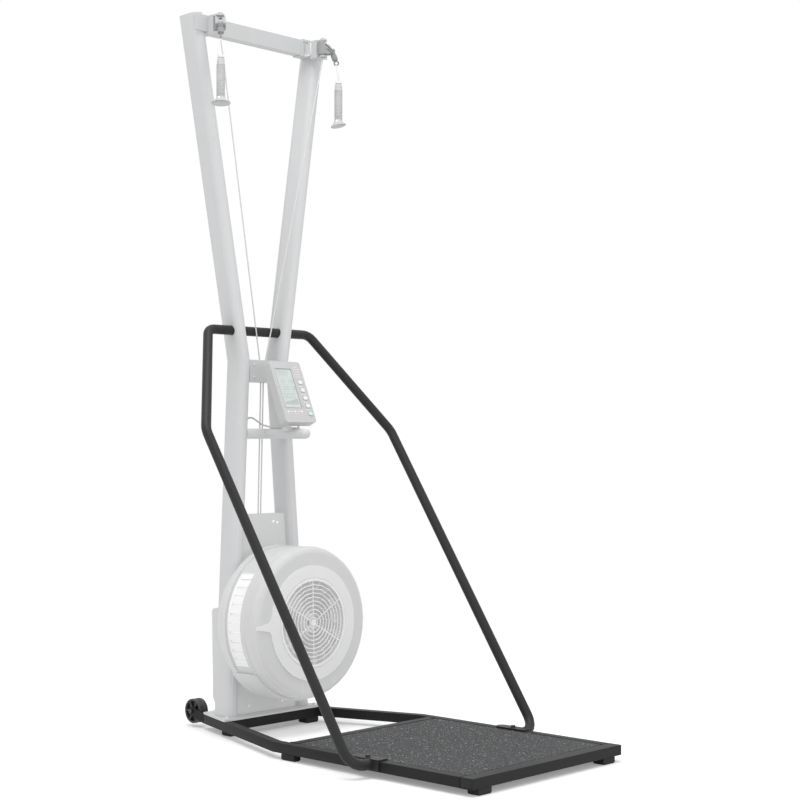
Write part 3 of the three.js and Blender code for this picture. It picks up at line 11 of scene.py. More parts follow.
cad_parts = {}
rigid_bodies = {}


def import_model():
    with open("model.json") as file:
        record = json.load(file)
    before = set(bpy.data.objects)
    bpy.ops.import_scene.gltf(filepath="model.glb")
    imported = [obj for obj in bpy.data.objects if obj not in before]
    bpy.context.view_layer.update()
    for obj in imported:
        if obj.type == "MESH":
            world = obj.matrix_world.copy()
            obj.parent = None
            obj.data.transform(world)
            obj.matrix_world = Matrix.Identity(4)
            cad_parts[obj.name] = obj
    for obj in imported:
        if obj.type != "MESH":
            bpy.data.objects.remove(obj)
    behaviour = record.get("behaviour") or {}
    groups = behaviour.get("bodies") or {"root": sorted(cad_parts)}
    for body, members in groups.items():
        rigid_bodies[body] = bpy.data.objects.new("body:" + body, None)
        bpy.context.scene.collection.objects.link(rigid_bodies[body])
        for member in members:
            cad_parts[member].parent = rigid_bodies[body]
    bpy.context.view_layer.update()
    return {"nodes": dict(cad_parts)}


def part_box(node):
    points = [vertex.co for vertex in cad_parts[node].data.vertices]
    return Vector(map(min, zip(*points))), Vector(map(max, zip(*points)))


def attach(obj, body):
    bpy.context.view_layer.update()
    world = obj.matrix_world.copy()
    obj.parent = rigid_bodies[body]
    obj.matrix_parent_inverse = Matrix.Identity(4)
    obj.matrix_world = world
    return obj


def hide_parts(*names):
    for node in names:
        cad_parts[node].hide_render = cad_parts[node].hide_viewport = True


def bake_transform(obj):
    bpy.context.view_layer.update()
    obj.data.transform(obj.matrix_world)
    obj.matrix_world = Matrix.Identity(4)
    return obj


bl_info = {
    "name": "Ski Trainer Finish",
    "version": (1, 0, 0),
    "blender": (4, 5, 0),
    "location": "View3D > Sidebar > Ski Trainer",
    "description": "Finishes, fasteners, cords and printed details of a standing ski trainer",
    "category": "Object",
}

for leftover in list(bpy.data.objects):
    bpy.data.objects.remove(leftover)

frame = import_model()

MM = 0.001
ORIGIN_SHIFT = 0.465
SIDES = (("left", -1), ("right", 1))
UP = (0, 0, 1)
DOWN = (0, 0, -1)
BACKWARDS = (0, 1, 0)

# The drum's middle, how far it hangs below the line that it leans about, and its leaning axis
FAN_HEIGHT = 0.3171
FAN_HANG = 0.6829
FAN_LEAN = math.radians(1.215)
FAN_AXIS = Vector((0, math.cos(FAN_LEAN), -math.sin(FAN_LEAN)))
FAN_MIDDLE = Vector((0, ORIGIN_SHIFT - 0.0145, FAN_HEIGHT))
# Radius less place on the axis: less than this lies under the rounded shoulder of the drum's face
DRUM_SHOULDER = 0.4176

# Each pulley head's swivel and each handle's middle in millimetres from the tower's foot
HEAD_X, HEAD_Y, HEAD_AXLE = 205, -63, 2036
HANDLE_X, HANDLE_Y = 233.9, -100
# How far each pulley head turns outwards, and the pull line's angle to the vertical
HEAD_TOE = math.radians(37.98)
LINE_ANGLE = math.radians(19.98)

# The middle of the monitor's face in millimetres from the tower's foot, and how far it leans back
MONITOR_Y, MONITOR_Z = -150.5, 985
MONITOR_LEAN = math.radians(23.4)

# Faces that meet at more than this keep a sharp edge between them
SHARP_ANGLE = math.radians(35)
DUST_COLOUR = (0.5, 0.49, 0.47)
WHITE = (1, 1, 1, 1)


# Sizes and colours a user would change


def colour_property(name, description, default):
    return FloatVectorProperty(
        name=name, description=description, default=default, size=3, subtype="COLOR", min=0, max=1
    )


def length_property(name, description, default):
    return FloatProperty(name=name, description=description, default=default, unit="LENGTH", min=0)


def power_property(name, description, default):
    return FloatProperty(name=name, description=description, default=default, unit="POWER")


class StageSettings(PropertyGroup):
    """Camera, floor and lamps"""

    lens: FloatProperty(name="Lens", description="Focal length in millimetres", default=73.17)
    world_light: FloatProperty(name="Sky light", description="Strength of the even light", default=0.77)
    top_light: power_property("Top lamp", "Power of the lamp overhead", 85)
    side_light: power_property("Side lamp", "Power of the lamp on the left", 13)
    front_light: power_property("Front lamp", "Power of the lamp in front", 26)
    floor_colour: colour_property("Floor", "Colour of the studio floor", (0.86, 0.86, 0.86))


class StandSettings(PropertyGroup):
    """Black stand, rails, feet and wheels"""

    paint: colour_property("Stand paint", "Black powder coat of the tubes", (0.021, 0.021, 0.022))
    rubber: colour_property("Feet", "Moulded rubber of the feet and plugs", (0.018, 0.018, 0.018))
    wheel: colour_property("Wheels", "Moulded nylon of the wheels", (0.034, 0.034, 0.035))
    mat: colour_property("Mat", "Granulated rubber of the mat", (0.043, 0.0445, 0.046))
    fleck: colour_property("Flecks", "Pale flecks in the mat", (0.42, 0.43, 0.44))
    fleck_scale: FloatProperty(name="Fleck density", description="Flecks per metre of mat", default=260)
    edge_radius: length_property("Tube corner", "Rounding of the square tubes' corners", 0.0022)


class TowerSettings(PropertyGroup):
    """Uprights, crossbar, brackets and base"""

    paint: colour_property("Tower paint", "Pale powder coat of the uprights", (0.52, 0.525, 0.53))
    casting: colour_property("Castings", "Paint of the crossbar and the brackets", (0.41, 0.414, 0.418))
    plastic: colour_property("Covers", "Moulded plastic of the base covers", (0.41, 0.412, 0.415))
    bolt_radius: length_property("Bolt head", "Radius of the base bolts' heads", 0.0065)
    edge_radius: length_property("Edge", "Rounding of the bars' edges", 0.0016)


class FanSettings(PropertyGroup):
    """Fan housing, damper and grille"""

    housing: colour_property("Housing", "Moulded plastic of the drum", (0.43, 0.432, 0.435))
    back: colour_property("Back shell", "Moulded plastic of the back shell", (0.46, 0.462, 0.465))
    damper: colour_property("Damper", "Plastic of the damper ring", (0.78, 0.782, 0.785))
    grille: colour_property("Grille", "Plastic of the grille", (0.84, 0.842, 0.845))
    screen: colour_property("Side screen", "Plastic of the side screen", (0.79, 0.792, 0.795))
    wheel: colour_property("Fan wheel", "Plastic of the bladed wheel", (0.7, 0.7, 0.7))
    screw_count: IntProperty(name="Back screws", description="Screws round the drum's back", default=6, min=3)
    screw_circle: length_property("Screw circle", "Radius of the circle of back screws", 0.186)


class PullSettings(PropertyGroup):
    """Pulley heads, handles and cords"""

    head: colour_property("Heads", "Paint of the pulley heads", (0.24, 0.242, 0.244))
    grip: colour_property("Grips", "Rubber of the handles", (0.53, 0.532, 0.535))
    cord: colour_property("Cords", "Braid of the cords", (0.72, 0.72, 0.71))
    rib_count: IntProperty(name="Grip ribs", description="Ribs round each grip", default=22, min=1)
    rib_pitch: length_property("Rib pitch", "Distance between the grip's ribs", 0.0042)


class MonitorSettings(PropertyGroup):
    """Monitor, keys and lead"""

    case: colour_property("Case", "Moulded case of the monitor", (0.5, 0.5, 0.505))
    panel: colour_property("Overlay", "Printed overlay of the monitor's face", (0.5, 0.49, 0.495))
    display: colour_property("Display", "Pale green of the display", (0.55, 0.6, 0.58))
    ink: colour_property("Digits", "Dark segments of the display", (0.36, 0.41, 0.395))
    label: colour_property("Labels", "Pink print beside the keys", (0.68, 0.59, 0.61))
    key: colour_property("Keys", "White rubber keys", (0.76, 0.745, 0.75))
    start_key: colour_property("Start key", "Green rubber key", (0.58, 0.71, 0.66))
    lead: colour_property("Lead", "Jacket of the monitor's lead", (0.52, 0.52, 0.525))


GROUPS = {
    "ski_stage": StageSettings,
    "ski_stand": StandSettings,
    "ski_tower": TowerSettings,
    "ski_fan": FanSettings,
    "ski_pulls": PullSettings,
    "ski_monitor": MonitorSettings,
}


# Node helpers


def connect(tree, sockets, values):
    """Gives each named socket a link, where its value is a socket, or else a value of its own"""
    for key, value in values.items():
        if isinstance(value, bpy.types.NodeSocket):
            tree.links.new(value, sockets[key])
        else:
            sockets[key].default_value = value


def add(tree, kind, inputs=None, **settings):
    node = tree.nodes.new(kind)
    for key, value in settings.items():
        setattr(node, key, value)
    connect(tree, node.inputs, inputs or {})
    return node


def math_node(tree, operation, first, second=0.0, clamp=False):
    node = add(tree, "ShaderNodeMath", {0: first, 1: second}, operation=operation, use_clamp=clamp)
    return node.outputs[0]


def product(tree, first, second, clamp=False):
    return math_node(tree, "MULTIPLY", first, second, clamp)


def noise(tree, vector, scale, detail):
    return add(tree, "ShaderNodeTexNoise", {"Vector": vector, "Scale": scale, "Detail": detail}).outputs[0]


def ramp(tree, value, start=0.0, end=1.0, low=0.0, high=1.0):
    """Turns values between start and end into values between low and high"""
    inputs = {"Value": value, "From Min": start, "From Max": end, "To Min": low, "To Max": high}
    return add(tree, "ShaderNodeMapRange", inputs, clamp=True).outputs[0]


def cells_of(tree, vector, scale):
    return add(tree, "ShaderNodeTexVoronoi", {"Vector": vector, "Scale": scale}, feature="F1").outputs


def mixed_shaders(tree, share, first, second):
    return add(tree, "ShaderNodeMixShader", {0: share, 1: first, 2: second}).outputs[0]


def parts_of(tree, vector):
    return add(tree, "ShaderNodeSeparateXYZ", {0: vector}).outputs


def mapped(tree, vector, **values):
    inputs = {"Vector": vector, **{key.title(): value for key, value in values.items()}}
    return add(tree, "ShaderNodeMapping", inputs).outputs[0]


def blend_colours(tree, share, first, second):
    node = add(tree, "ShaderNodeMix", {"Factor": share}, data_type="RGBA")
    for index, value in ((6, first), (7, second)):
        linked = isinstance(value, bpy.types.NodeSocket)
        connect(tree, node.inputs, {index: value if linked else (*value, 1)})
    return node.outputs[2]


def new_tree(name, kind, inputs, outputs):
    """A node group with its own input and output sockets"""
    tree = bpy.data.node_groups.new(name, kind)
    for label, socket_type, default in inputs:
        socket = tree.interface.new_socket(name=label, in_out="INPUT", socket_type=socket_type)
        if default is not None:
            socket.default_value = default
    for label, socket_type in outputs:
        tree.interface.new_socket(name=label, in_out="OUTPUT", socket_type=socket_type)
    return tree, tree.nodes.new("NodeGroupInput").outputs, tree.nodes.new("NodeGroupOutput").inputs


def effect_tree(name, numbers, outputs, vectors=("Vector",)):
    """A shader group that takes vectors and numbers, and puts out values"""
    inputs = [(label, "NodeSocketVector", None) for label in vectors]
    inputs += [(label, "NodeSocketFloat", default) for label, default in numbers.items()]
    return new_tree(name, "ShaderNodeTree", inputs, [(label, "NodeSocketFloat") for label in outputs])


def grain_group():
    """Cloudy shade and fine height of a powder coat or a moulded skin"""
    numbers = {"Scale": 900.0, "Cloud Scale": 9.0}
    tree, source, result = effect_tree("Surface Grain", numbers, ("Shade", "Height"))
    fine = noise(tree, source["Vector"], source["Scale"], 2.0)
    cloud = noise(tree, source["Vector"], source["Cloud Scale"], 4.0)
    shade = math_node(tree, "ADD", product(tree, fine, 0.45), product(tree, cloud, 0.55), True)
    connect(tree, result, {"Shade": shade, "Height": fine})
    return tree


def wear_group():
    """Thin scuffs drawn out along one way, gathered in patches"""
    tree, source, result = effect_tree("Scuffs", {"Scale": 60.0, "Amount": 0.2}, ("Mask",))
    drawn = mapped(tree, source["Vector"], scale=(1, 1, 0.12), rotation=(0.3, 0.4, 0))
    thin = ramp(tree, noise(tree, drawn, source["Scale"], 6.0), 0.62, 0.72)
    where = ramp(tree, noise(tree, source["Vector"], 7.0, 2.0), 0.5, 0.7)
    connect(tree, result, {"Mask": product(tree, product(tree, thin, where), source["Amount"], True)})
    return tree


def dust_group():
    """Dust that settles on faces turned up"""
    tree, source, result = effect_tree("Settled Dust", {"Amount": 0.1}, ("Mask",), ("Vector", "Facing"))
    facing = ramp(tree, parts_of(tree, source["Facing"])["Z"], 0.4, 1.0)
    lying = product(tree, facing, noise(tree, source["Vector"], 14.0, 8.0))
    connect(tree, result, {"Mask": product(tree, lying, source["Amount"], True)})
    return tree


def braid_group():
    """Crossed strands of a round braid, on a map that runs along and round the cord"""
    tree, source, result = effect_tree("Braid", {"Along": 420.0, "Round": 4.0}, ("Shade", "Height"))
    parts = parts_of(tree, source["Vector"])
    along = product(tree, parts["X"], source["Along"])
    around = product(tree, parts["Y"], source["Round"])
    waves = []
    for operation in ("ADD", "SUBTRACT"):
        turned_way = math_node(tree, operation, along, around)
        waves.append(math_node(tree, "SINE", product(tree, turned_way, 2 * math.pi)))
    # Painted shade: the shade follows the height, so the hollows between strands come out darker
    height = ramp(tree, product(tree, *waves), -1.0, 1.0)
    connect(tree, result, {"Height": height, "Shade": height})
    return tree


SHADER_GROUPS = {}


def effect(tree, name, inputs):
    """Sets a shared shader group in a material, and makes the group the first time"""
    makers = {"grain": grain_group, "wear": wear_group, "dust": dust_group, "braid": braid_group}
    if name not in SHADER_GROUPS:
        SHADER_GROUPS[name] = makers[name]()
    return add(tree, "ShaderNodeGroup", inputs, node_tree=SHADER_GROUPS[name]).outputs


# Materials


def darker(colour, share):
    """A share of a colour: darker below one, paler above it"""
    return tuple(channel * share for channel in colour)


def new_material(name):
    """A material, its tree, the sockets of its shader and those of its coordinates"""
    material = bpy.data.materials.new(name)
    material.use_nodes = True
    tree = material.node_tree
    place = tree.nodes.new("ShaderNodeTexCoord")
    return material, tree, tree.nodes["Principled BSDF"].inputs, place.outputs


def opened(material):
    """The tree, the shader's sockets and the colour so far of a material that gets one more layer"""
    tree = material.node_tree
    shader = tree.nodes["Principled BSDF"].inputs
    place = tree.nodes.new("ShaderNodeTexCoord")
    return tree, shader, shader["Base Color"].links[0].from_socket, place.outputs["Object"]


def bump(tree, height, strength, distance):
    inputs = {"Height": height, "Strength": strength, "Distance": distance}
    return add(tree, "ShaderNodeBump", inputs).outputs[0]


def coat(
    name, colour, rough, grain=900.0, spread=0.1, relief=0.25, depth=0.2, wear=0.25, dust=0.08,
    painted_glow=0.0, sheen=0.5,
):
    """A painted or moulded finish with cloudy shade, grain to a depth in millimetres, scuffs, dust and
    painted light as a glow
    """
    material, tree, shader, place = new_material(name)
    vector = place["Object"]
    skin = effect(tree, "grain", {"Vector": vector, "Scale": grain, "Cloud Scale": 8.0})
    base = blend_colours(tree, skin["Shade"], darker(colour, 1 - spread), darker(colour, 1 + spread))
    scuffs = effect(tree, "wear", {"Vector": vector, "Scale": 60.0, "Amount": wear})["Mask"]
    scuffed = tuple(min(1.0, channel * 1.35 + 0.05) for channel in colour)
    base = blend_colours(tree, scuffs, base, scuffed)
    settled = effect(tree, "dust", {"Vector": vector, "Facing": place["Normal"], "Amount": dust})["Mask"]
    gloss = ramp(tree, skin["Shade"], low=rough - 0.06, high=rough + 0.08)
    connect(tree, shader, {
        "Base Color": blend_colours(tree, settled, base, DUST_COLOUR),
        "Roughness": math_node(tree, "ADD", gloss, scuffs, True),
        "Specular IOR Level": sheen,
        "Normal": bump(tree, skin["Height"], relief, depth * MM),
    })
    # Painted light: a glow in the coat's own colour lifts its shade, as if more light fell on it
    if painted_glow:
        connect(tree, shader, {"Emission Color": (*colour, 1), "Emission Strength": painted_glow})
    return material


def painted_light_inside(name, outer, inner, reach, front, rough=0.5):
    """Moulded plastic with painted light: paler inside the drum than outside, about the drum's leaning axis,
    and all of it glowing
    """
    material = coat(name, outer, rough, 700, 0.04, 0.35, 0.3, 0.12, 0.05)
    tree, shader, outside, place = opened(material)
    moved = add(tree, "ShaderNodeVectorMath", {0: place, 1: -FAN_MIDDLE}).outputs[0]
    onto_axis = add(tree, "ShaderNodeVectorMath", {0: moved, 1: FAN_AXIS}, operation="DOT_PRODUCT")
    axis = onto_axis.outputs["Value"]
    away = add(tree, "ShaderNodeVectorMath", {0: moved}, operation="LENGTH").outputs["Value"]
    along = math_node(tree, "POWER", math_node(tree, "ABSOLUTE", axis), 2.0)
    square = math_node(tree, "SUBTRACT", math_node(tree, "POWER", away, 2.0), along)
    radius = math_node(tree, "SQRT", square)
    within = math_node(tree, "LESS_THAN", radius, reach)
    behind = math_node(tree, "GREATER_THAN", axis, front)
    under = math_node(tree, "LESS_THAN", math_node(tree, "SUBTRACT", radius, axis), DRUM_SHOULDER)
    inside = product(tree, product(tree, within, behind), under)
    # Painted light: a paler colour inside the drum, and a glow over all of it, lift the shade in the drum
    connect(tree, shader, {
        "Base Color": blend_colours(tree, inside, outside, inner),
        "Emission Color": blend_colours(tree, inside, (0.82, 0.82, 0.82), inner),
        "Emission Strength": 0.22,
    })
    return material


def strap_and_ring(name, cord, fitting, height):
    """Pale cord below a height and a darker moulded stopper above it"""
    material = braided(name, cord)
    tree, shader, woven, place = opened(material)
    above = math_node(tree, "GREATER_THAN", parts_of(tree, place)["Z"], height)
    connect(tree, shader, {"Base Color": blend_colours(tree, above, woven, fitting)})
    return material


def steel(name, colour, rough):
    """Turned steel with fine lines round it"""
    material, tree, shader, place = new_material(name)
    lines = noise(tree, mapped(tree, place["Object"], scale=(1, 8, 1)), 700.0, 3.0)
    connect(tree, shader, {
        "Base Color": blend_colours(tree, lines, darker(colour, 0.85), darker(colour, 1.1)),
        "Roughness": ramp(tree, lines, low=rough - 0.08, high=rough + 0.12),
        "Metallic": 1.0,
        "Normal": bump(tree, lines, 0.1, 0.0001),
    })
    return material


def speckled_rubber(name, colour, fleck, density):
    """Pressed rubber granules: a pebbled skin with pale flecks of several sizes"""
    material, tree, shader, place = new_material(name)
    vector = place["Object"]
    granules = cells_of(tree, vector, density * 1.6)
    tone = add(tree, "ShaderNodeSeparateColor", {0: granules["Color"]}).outputs[0]
    base = blend_colours(tree, tone, darker(colour, 0.72), darker(colour, 1.3))
    for number, (size, least) in enumerate(((1.0, 0.9), (0.55, 0.94), (2.2, 0.9))):
        offset = mapped(tree, vector, location=(3.1 * number, 1.7 * number, 0))
        cells = cells_of(tree, offset, density * size)
        chance = add(tree, "ShaderNodeSeparateColor", {0: cells["Color"]}).outputs[1]
        chosen = math_node(tree, "GREATER_THAN", chance, least)
        near = math_node(tree, "LESS_THAN", cells["Distance"], 0.36)
        base = blend_colours(tree, product(tree, product(tree, chosen, near), 0.75), base, fleck)
    scuffs = effect(tree, "wear", {"Vector": vector, "Scale": 25.0, "Amount": 0.25})["Mask"]
    connect(tree, shader, {
        "Base Color": blend_colours(tree, scuffs, base, darker(fleck, 0.4)),
        "Roughness": 0.82,
        "Specular IOR Level": 0.35,
        "Normal": bump(tree, granules["Distance"], 0.5, 0.0006),
    })
    return material


def braided(name, colour):
    """Woven cord, mapped along and round each cord"""
    material, tree, shader, place = new_material(name)
    weave = effect(tree, "braid", {"Vector": place["UV"], "Along": 190.0, "Round": 4.0})
    skin = effect(tree, "grain", {"Vector": place["Object"], "Scale": 2500.0, "Cloud Scale": 30.0})
    # Painted shade: the cord is darker in the weave's hollows
    base = blend_colours(tree, weave["Shade"], darker(colour, 0.74), darker(colour, 1.08))
    connect(tree, shader, {
        "Base Color": blend_colours(tree, product(tree, skin["Shade"], 0.25), base, darker(colour, 0.85)),
        "Roughness": 0.78,
        "Sheen Weight": 0.2,
        "Normal": bump(tree, weave["Height"], 0.6, 0.0005),
    })
    return material


def glossy_window(name, colour):
    """Display glass: a pale liquid-crystal panel under a clear coat"""
    material, tree, shader, place = new_material(name)
    cloud = effect(tree, "grain", {"Vector": place["Object"], "Scale": 1800.0, "Cloud Scale": 22.0})["Shade"]
    connect(tree, shader, {
        "Base Color": blend_colours(tree, cloud, darker(colour, 0.9), darker(colour, 1.1)),
        "Roughness": ramp(tree, cloud, low=0.08, high=0.22),
        "Coat Weight": 0.6,
        "Coat Roughness": 0.05,
    })
    return material


# Mesh helpers


def tower(x, y, z):
    """A place in millimetres from the tower's foot, as a point of the frame"""
    return Vector((x * MM, y * MM + ORIGIN_SHIFT, z * MM))


def settle(obj, body):
    """Brings a piece into the scene, on its body"""
    if obj.name not in bpy.context.scene.collection.objects:
        bpy.context.scene.collection.objects.link(obj)
    if body:
        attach(obj, body)
    return obj


def piece(name, bm, finish_name, body):
    """Turns mesh code into a finished piece that rides on a body"""
    mesh = bpy.data.meshes.new(name)
    bmesh.ops.remove_doubles(bm, verts=bm.verts, dist=1e-6)
    bmesh.ops.recalc_face_normals(bm, faces=bm.faces)
    for face in bm.faces:
        face.smooth = True
    bm.to_mesh(mesh)
    bm.free()
    mesh.set_sharp_from_angle(angle=SHARP_ANGLE)
    mesh.materials.append(finish(finish_name))
    return settle(bpy.data.objects.new(name, mesh), body)


def modifier(obj, name, kind, **values):
    """Gives a piece a modifier with its settings"""
    made = obj.modifiers.new(name, kind)
    for key, value in values.items():
        setattr(made, key, value)


def dress(node, finish_name, edge=0.0, steps=2):
    """Gives a solid its finish, smooth curves and, where asked, rounded edges"""
    obj = frame["nodes"][node]
    obj.data.materials.clear()
    obj.data.materials.append(finish(finish_name))
    for polygon in obj.data.polygons:
        polygon.use_smooth = True
    modifier(obj, "Join", "WELD", merge_threshold=0.00001)
    if edge:
        modifier(
            obj, "Rounded edge", "BEVEL", width=edge, segments=steps, limit_method="ANGLE",
            angle_limit=math.radians(40), use_clamp_overlap=True,
        )
    modifier(obj, "Crease", "EDGE_SPLIT", split_angle=math.radians(33))
    modifier(obj, "Flat faces", "WEIGHTED_NORMAL", keep_sharp=True)
    return obj


def surface(node, start, way):
    """Where a line first meets a solid, and which way the solid faces there"""
    mesh = frame["nodes"][node].data
    tree = BVHTree.FromPolygons([v.co for v in mesh.vertices], [p.vertices for p in mesh.polygons])
    hit, normal, _, _ = tree.ray_cast(Vector(start), Vector(way).normalized())
    if hit is None:
        raise RuntimeError(f"nothing of {node} lies that way")
    if normal.dot(Vector(way)) > 0:
        normal = -normal
    return hit, normal


def bent_path(corners, radii, steps):
    """Corners joined by straight runs and round bends"""
    points = [Vector(corners[0])]
    for index in range(1, len(corners) - 1):
        before, corner, after = (Vector(corners[index + k]) for k in (-1, 0, 1))
        come, go = (before - corner).normalized(), (after - corner).normalized()
        half = come.angle(go) / 2
        shorter = min((before - corner).length, (after - corner).length)
        reach = min(radii[index - 1] / math.tan(half), 0.45 * shorter)
        radius = reach * math.tan(half)
        centre = corner + (come + go).normalized() * (radius / math.sin(half))
        first, last = corner + come * reach - centre, corner + go * reach - centre
        turn = first.angle(last)
        for step in range(steps + 1):
            share = step / steps
            scale = math.sin(turn)
            mixed = first * (math.sin((1 - share) * turn) / scale) + last * (math.sin(share * turn) / scale)
            points.append(centre + mixed)
    points.append(Vector(corners[-1]))
    return points


def sweep(points, radius, sides):
    """A closed round tube along points, mapped along and round it"""
    bm = bmesh.new()
    layer = bm.loops.layers.uv.new("Along")
    rings, lengths = [], [0.0]
    way = (points[1] - points[0]).normalized()
    across = way.orthogonal().normalized()
    for index, centre in enumerate(points):
        ahead = points[min(index + 1, len(points) - 1)] - points[max(index - 1, 0)]
        way = ahead.normalized()
        across = (across - way * across.dot(way)).normalized()
        other = way.cross(across)
        if index:
            lengths.append(lengths[-1] + (centre - points[index - 1]).length)
        ring = []
        for side in range(sides):
            angle = 2 * math.pi * side / sides
            size = radius(index) if callable(radius) else radius
            ring.append(bm.verts.new(centre + (across * math.cos(angle) + other * math.sin(angle)) * size))
        rings.append(ring)
    for index in range(len(points) - 1):
        for side in range(sides):
            after = (side + 1) % sides
            low, high = rings[index], rings[index + 1]
            face = bm.faces.new((low[side], low[after], high[after], high[side]))
            marks = ((index, side), (index, side + 1), (index + 1, side + 1), (index + 1, side))
            for loop, (along, around) in zip(face.loops, marks):
                loop[layer].uv = (lengths[along], around / sides)
    bm.faces.new(list(reversed(rings[0])))
    bm.faces.new(rings[-1])
    return bm


def bridge(bm, rings):
    """Faces between rings of corners, each ring closed"""
    for low, high in zip(rings, rings[1:]):
        for index in range(len(low)):
            after = (index + 1) % len(low)
            bm.faces.new((low[index], low[after], high[after], high[index]))


def turned(profile, sides):
    """A closed turned form from (radius, height) pairs along its axis, from end to end"""
    bm = bmesh.new()
    rings = []
    for radius, height in profile:
        angles = [2 * math.pi * side / sides for side in range(sides if radius else 1)]
        places = [(radius * math.cos(angle), radius * math.sin(angle), height) for angle in angles]
        rings.append([bm.verts.new(place) for place in places])
    for low, high in zip(rings, rings[1:]):
        for side in range(sides):
            after = (side + 1) % sides
            corners = [low[side % len(low)], low[after % len(low)]]
            corners += [high[after % len(high)], high[side % len(high)]]
            bm.faces.new(list(dict.fromkeys(corners)))
    return bm


def aim(point, way):
    """The place of a part whose own z axis looks along way"""
    turn = Vector(UP).rotation_difference(Vector(way)).to_matrix().to_4x4()
    return Matrix.Translation(Vector(point)) @ turn


def box_mesh(size, place, edge=0.0):
    """A block of full size about a place, with rounded edges"""
    bm = bmesh.new()
    bmesh.ops.create_cube(bm, size=1)
    bmesh.ops.transform(bm, matrix=place @ Matrix.Diagonal((*size, 1)), verts=bm.verts)
    if edge:
        bmesh.ops.bevel(
            bm, geom=bm.edges[:] + bm.verts[:], offset=edge, segments=2, affect="EDGES", profile=0.5
        )
    return bm


def joined(meshes):
    """Several mesh codes as one"""
    whole = bmesh.new()
    for bm in meshes:
        mesh = bpy.data.meshes.new("part")
        bm.to_mesh(mesh)
        bm.free()
        whole.from_mesh(mesh)
        bpy.data.meshes.remove(mesh)
    return whole


# Repeated parts grown by geometry nodes


PART_INPUTS = (
    ("Part", "NodeSocketObject", None),
    ("Finish", "NodeSocketMaterial", None),
    ("Scale", "NodeSocketVector", (1, 1, 1)),
)


def start_tree(name, *inputs):
    inputs = (("Spots", "NodeSocketGeometry", None), *inputs, *PART_INPUTS)
    tree, source, result = new_tree(name, "GeometryNodeTree", inputs, (("Geometry", "NodeSocketGeometry"),))
    tree.is_modifier = True
    return tree, source, result


def end_tree(tree, source, result, points, rotation=None):
    """Sets the part on the points, makes it real and gives it its finish"""
    part = add(tree, "GeometryNodeObjectInfo", {"Object": source["Part"]}).outputs["Geometry"]
    inputs = {"Points": points, "Instance": part, "Scale": source["Scale"]}
    if rotation is not None:
        inputs["Rotation"] = rotation
    placed = add(tree, "GeometryNodeInstanceOnPoints", inputs).outputs[0]
    real = add(tree, "GeometryNodeRealizeInstances", {"Geometry": placed}).outputs[0]
    finished = add(tree, "GeometryNodeSetMaterial", {"Geometry": real, "Material": source["Finish"]})
    connect(tree, result, {0: finished.outputs[0]})
    return tree


def spots_tree():
    """Parts on given spots, each turned to face the way stored with its spot"""
    tree, source, result = start_tree("Parts On Spots")
    facing = add(tree, "GeometryNodeInputNamedAttribute", {"Name": "facing"}, data_type="FLOAT_VECTOR")
    aimed = add(tree, "FunctionNodeAlignRotationToVector", {"Vector": facing.outputs[0]}, axis="Z")
    return end_tree(tree, source, result, source["Spots"], aimed.outputs[0])


def row_tree():
    """Parts in a straight row"""
    count, step = ("Count", "NodeSocketInt", 4), ("Step", "NodeSocketVector", (0, 0, 0.01))
    tree, source, result = start_tree("Parts In A Row", count, step)
    line = add(tree, "GeometryNodeMeshLine", {"Count": source["Count"], "Offset": source["Step"]})
    return end_tree(tree, source, result, line.outputs[0])


def circle_tree():
    """Parts on a circle, all facing along its axis"""
    count, radius = ("Count", "NodeSocketInt", 8), ("Radius", "NodeSocketFloat", 0.1)
    tree, source, result = start_tree("Parts On A Circle", count, radius)
    ring = add(tree, "GeometryNodeMeshCircle", {"Vertices": source["Count"], "Radius": source["Radius"]})
    return end_tree(tree, source, result, ring.outputs[0])


TREES = {}


def tree_of(kind):
    makers = {"spots": spots_tree, "row": row_tree, "circle": circle_tree}
    if kind not in TREES:
        TREES[kind] = makers[kind]()
    return TREES[kind]


def grow(name, kind, part, finish_name, body, spots=(), *, slot, place=None, **values):
    """Runs a tree once and keeps its result as one plain mesh"""
    template_mesh = bpy.data.meshes.new(name + "_part")
    bmesh.ops.recalc_face_normals(part, faces=part.faces)
    for face in part.faces:
        face.smooth = True
    part.to_mesh(template_mesh)
    part.free()
    template = bpy.data.objects.new(name + "_part", template_mesh)
    seed = bpy.data.meshes.new(name + "_spots")
    seed.from_pydata([spot for spot, _ in spots], [], [])
    if spots:
        ways = seed.attributes.new("facing", "FLOAT_VECTOR", "POINT")
        ways.data.foreach_set("vector", [c for _, way in spots for c in way])
    obj = bpy.data.objects.new(name, seed)
    for made in (template, obj):
        bpy.context.scene.collection.objects.link(made)
    growth = obj.modifiers.new("Grow", "NODES")
    growth.node_group = tree_of(kind)
    wanted = {"Part": template, "Finish": finish(finish_name), **values}
    for item in growth.node_group.interface.items_tree:
        if item.in_out == "INPUT" and item.name in wanted:
            growth[item.identifier] = wanted[item.name]
    bpy.context.view_layer.update()
    depsgraph = bpy.context.evaluated_depsgraph_get()
    plain = bpy.data.meshes.new_from_object(obj.evaluated_get(depsgraph), depsgraph=depsgraph)
    obj.modifiers.remove(growth)
    obj.data = plain
    bpy.data.objects.remove(template)
    if place is not None:
        plain.transform(place)
    plain.set_sharp_from_angle(angle=SHARP_ANGLE)
    if not plain.polygons:
        raise RuntimeError(f"{name} came out empty")
    return settle(obj, body)


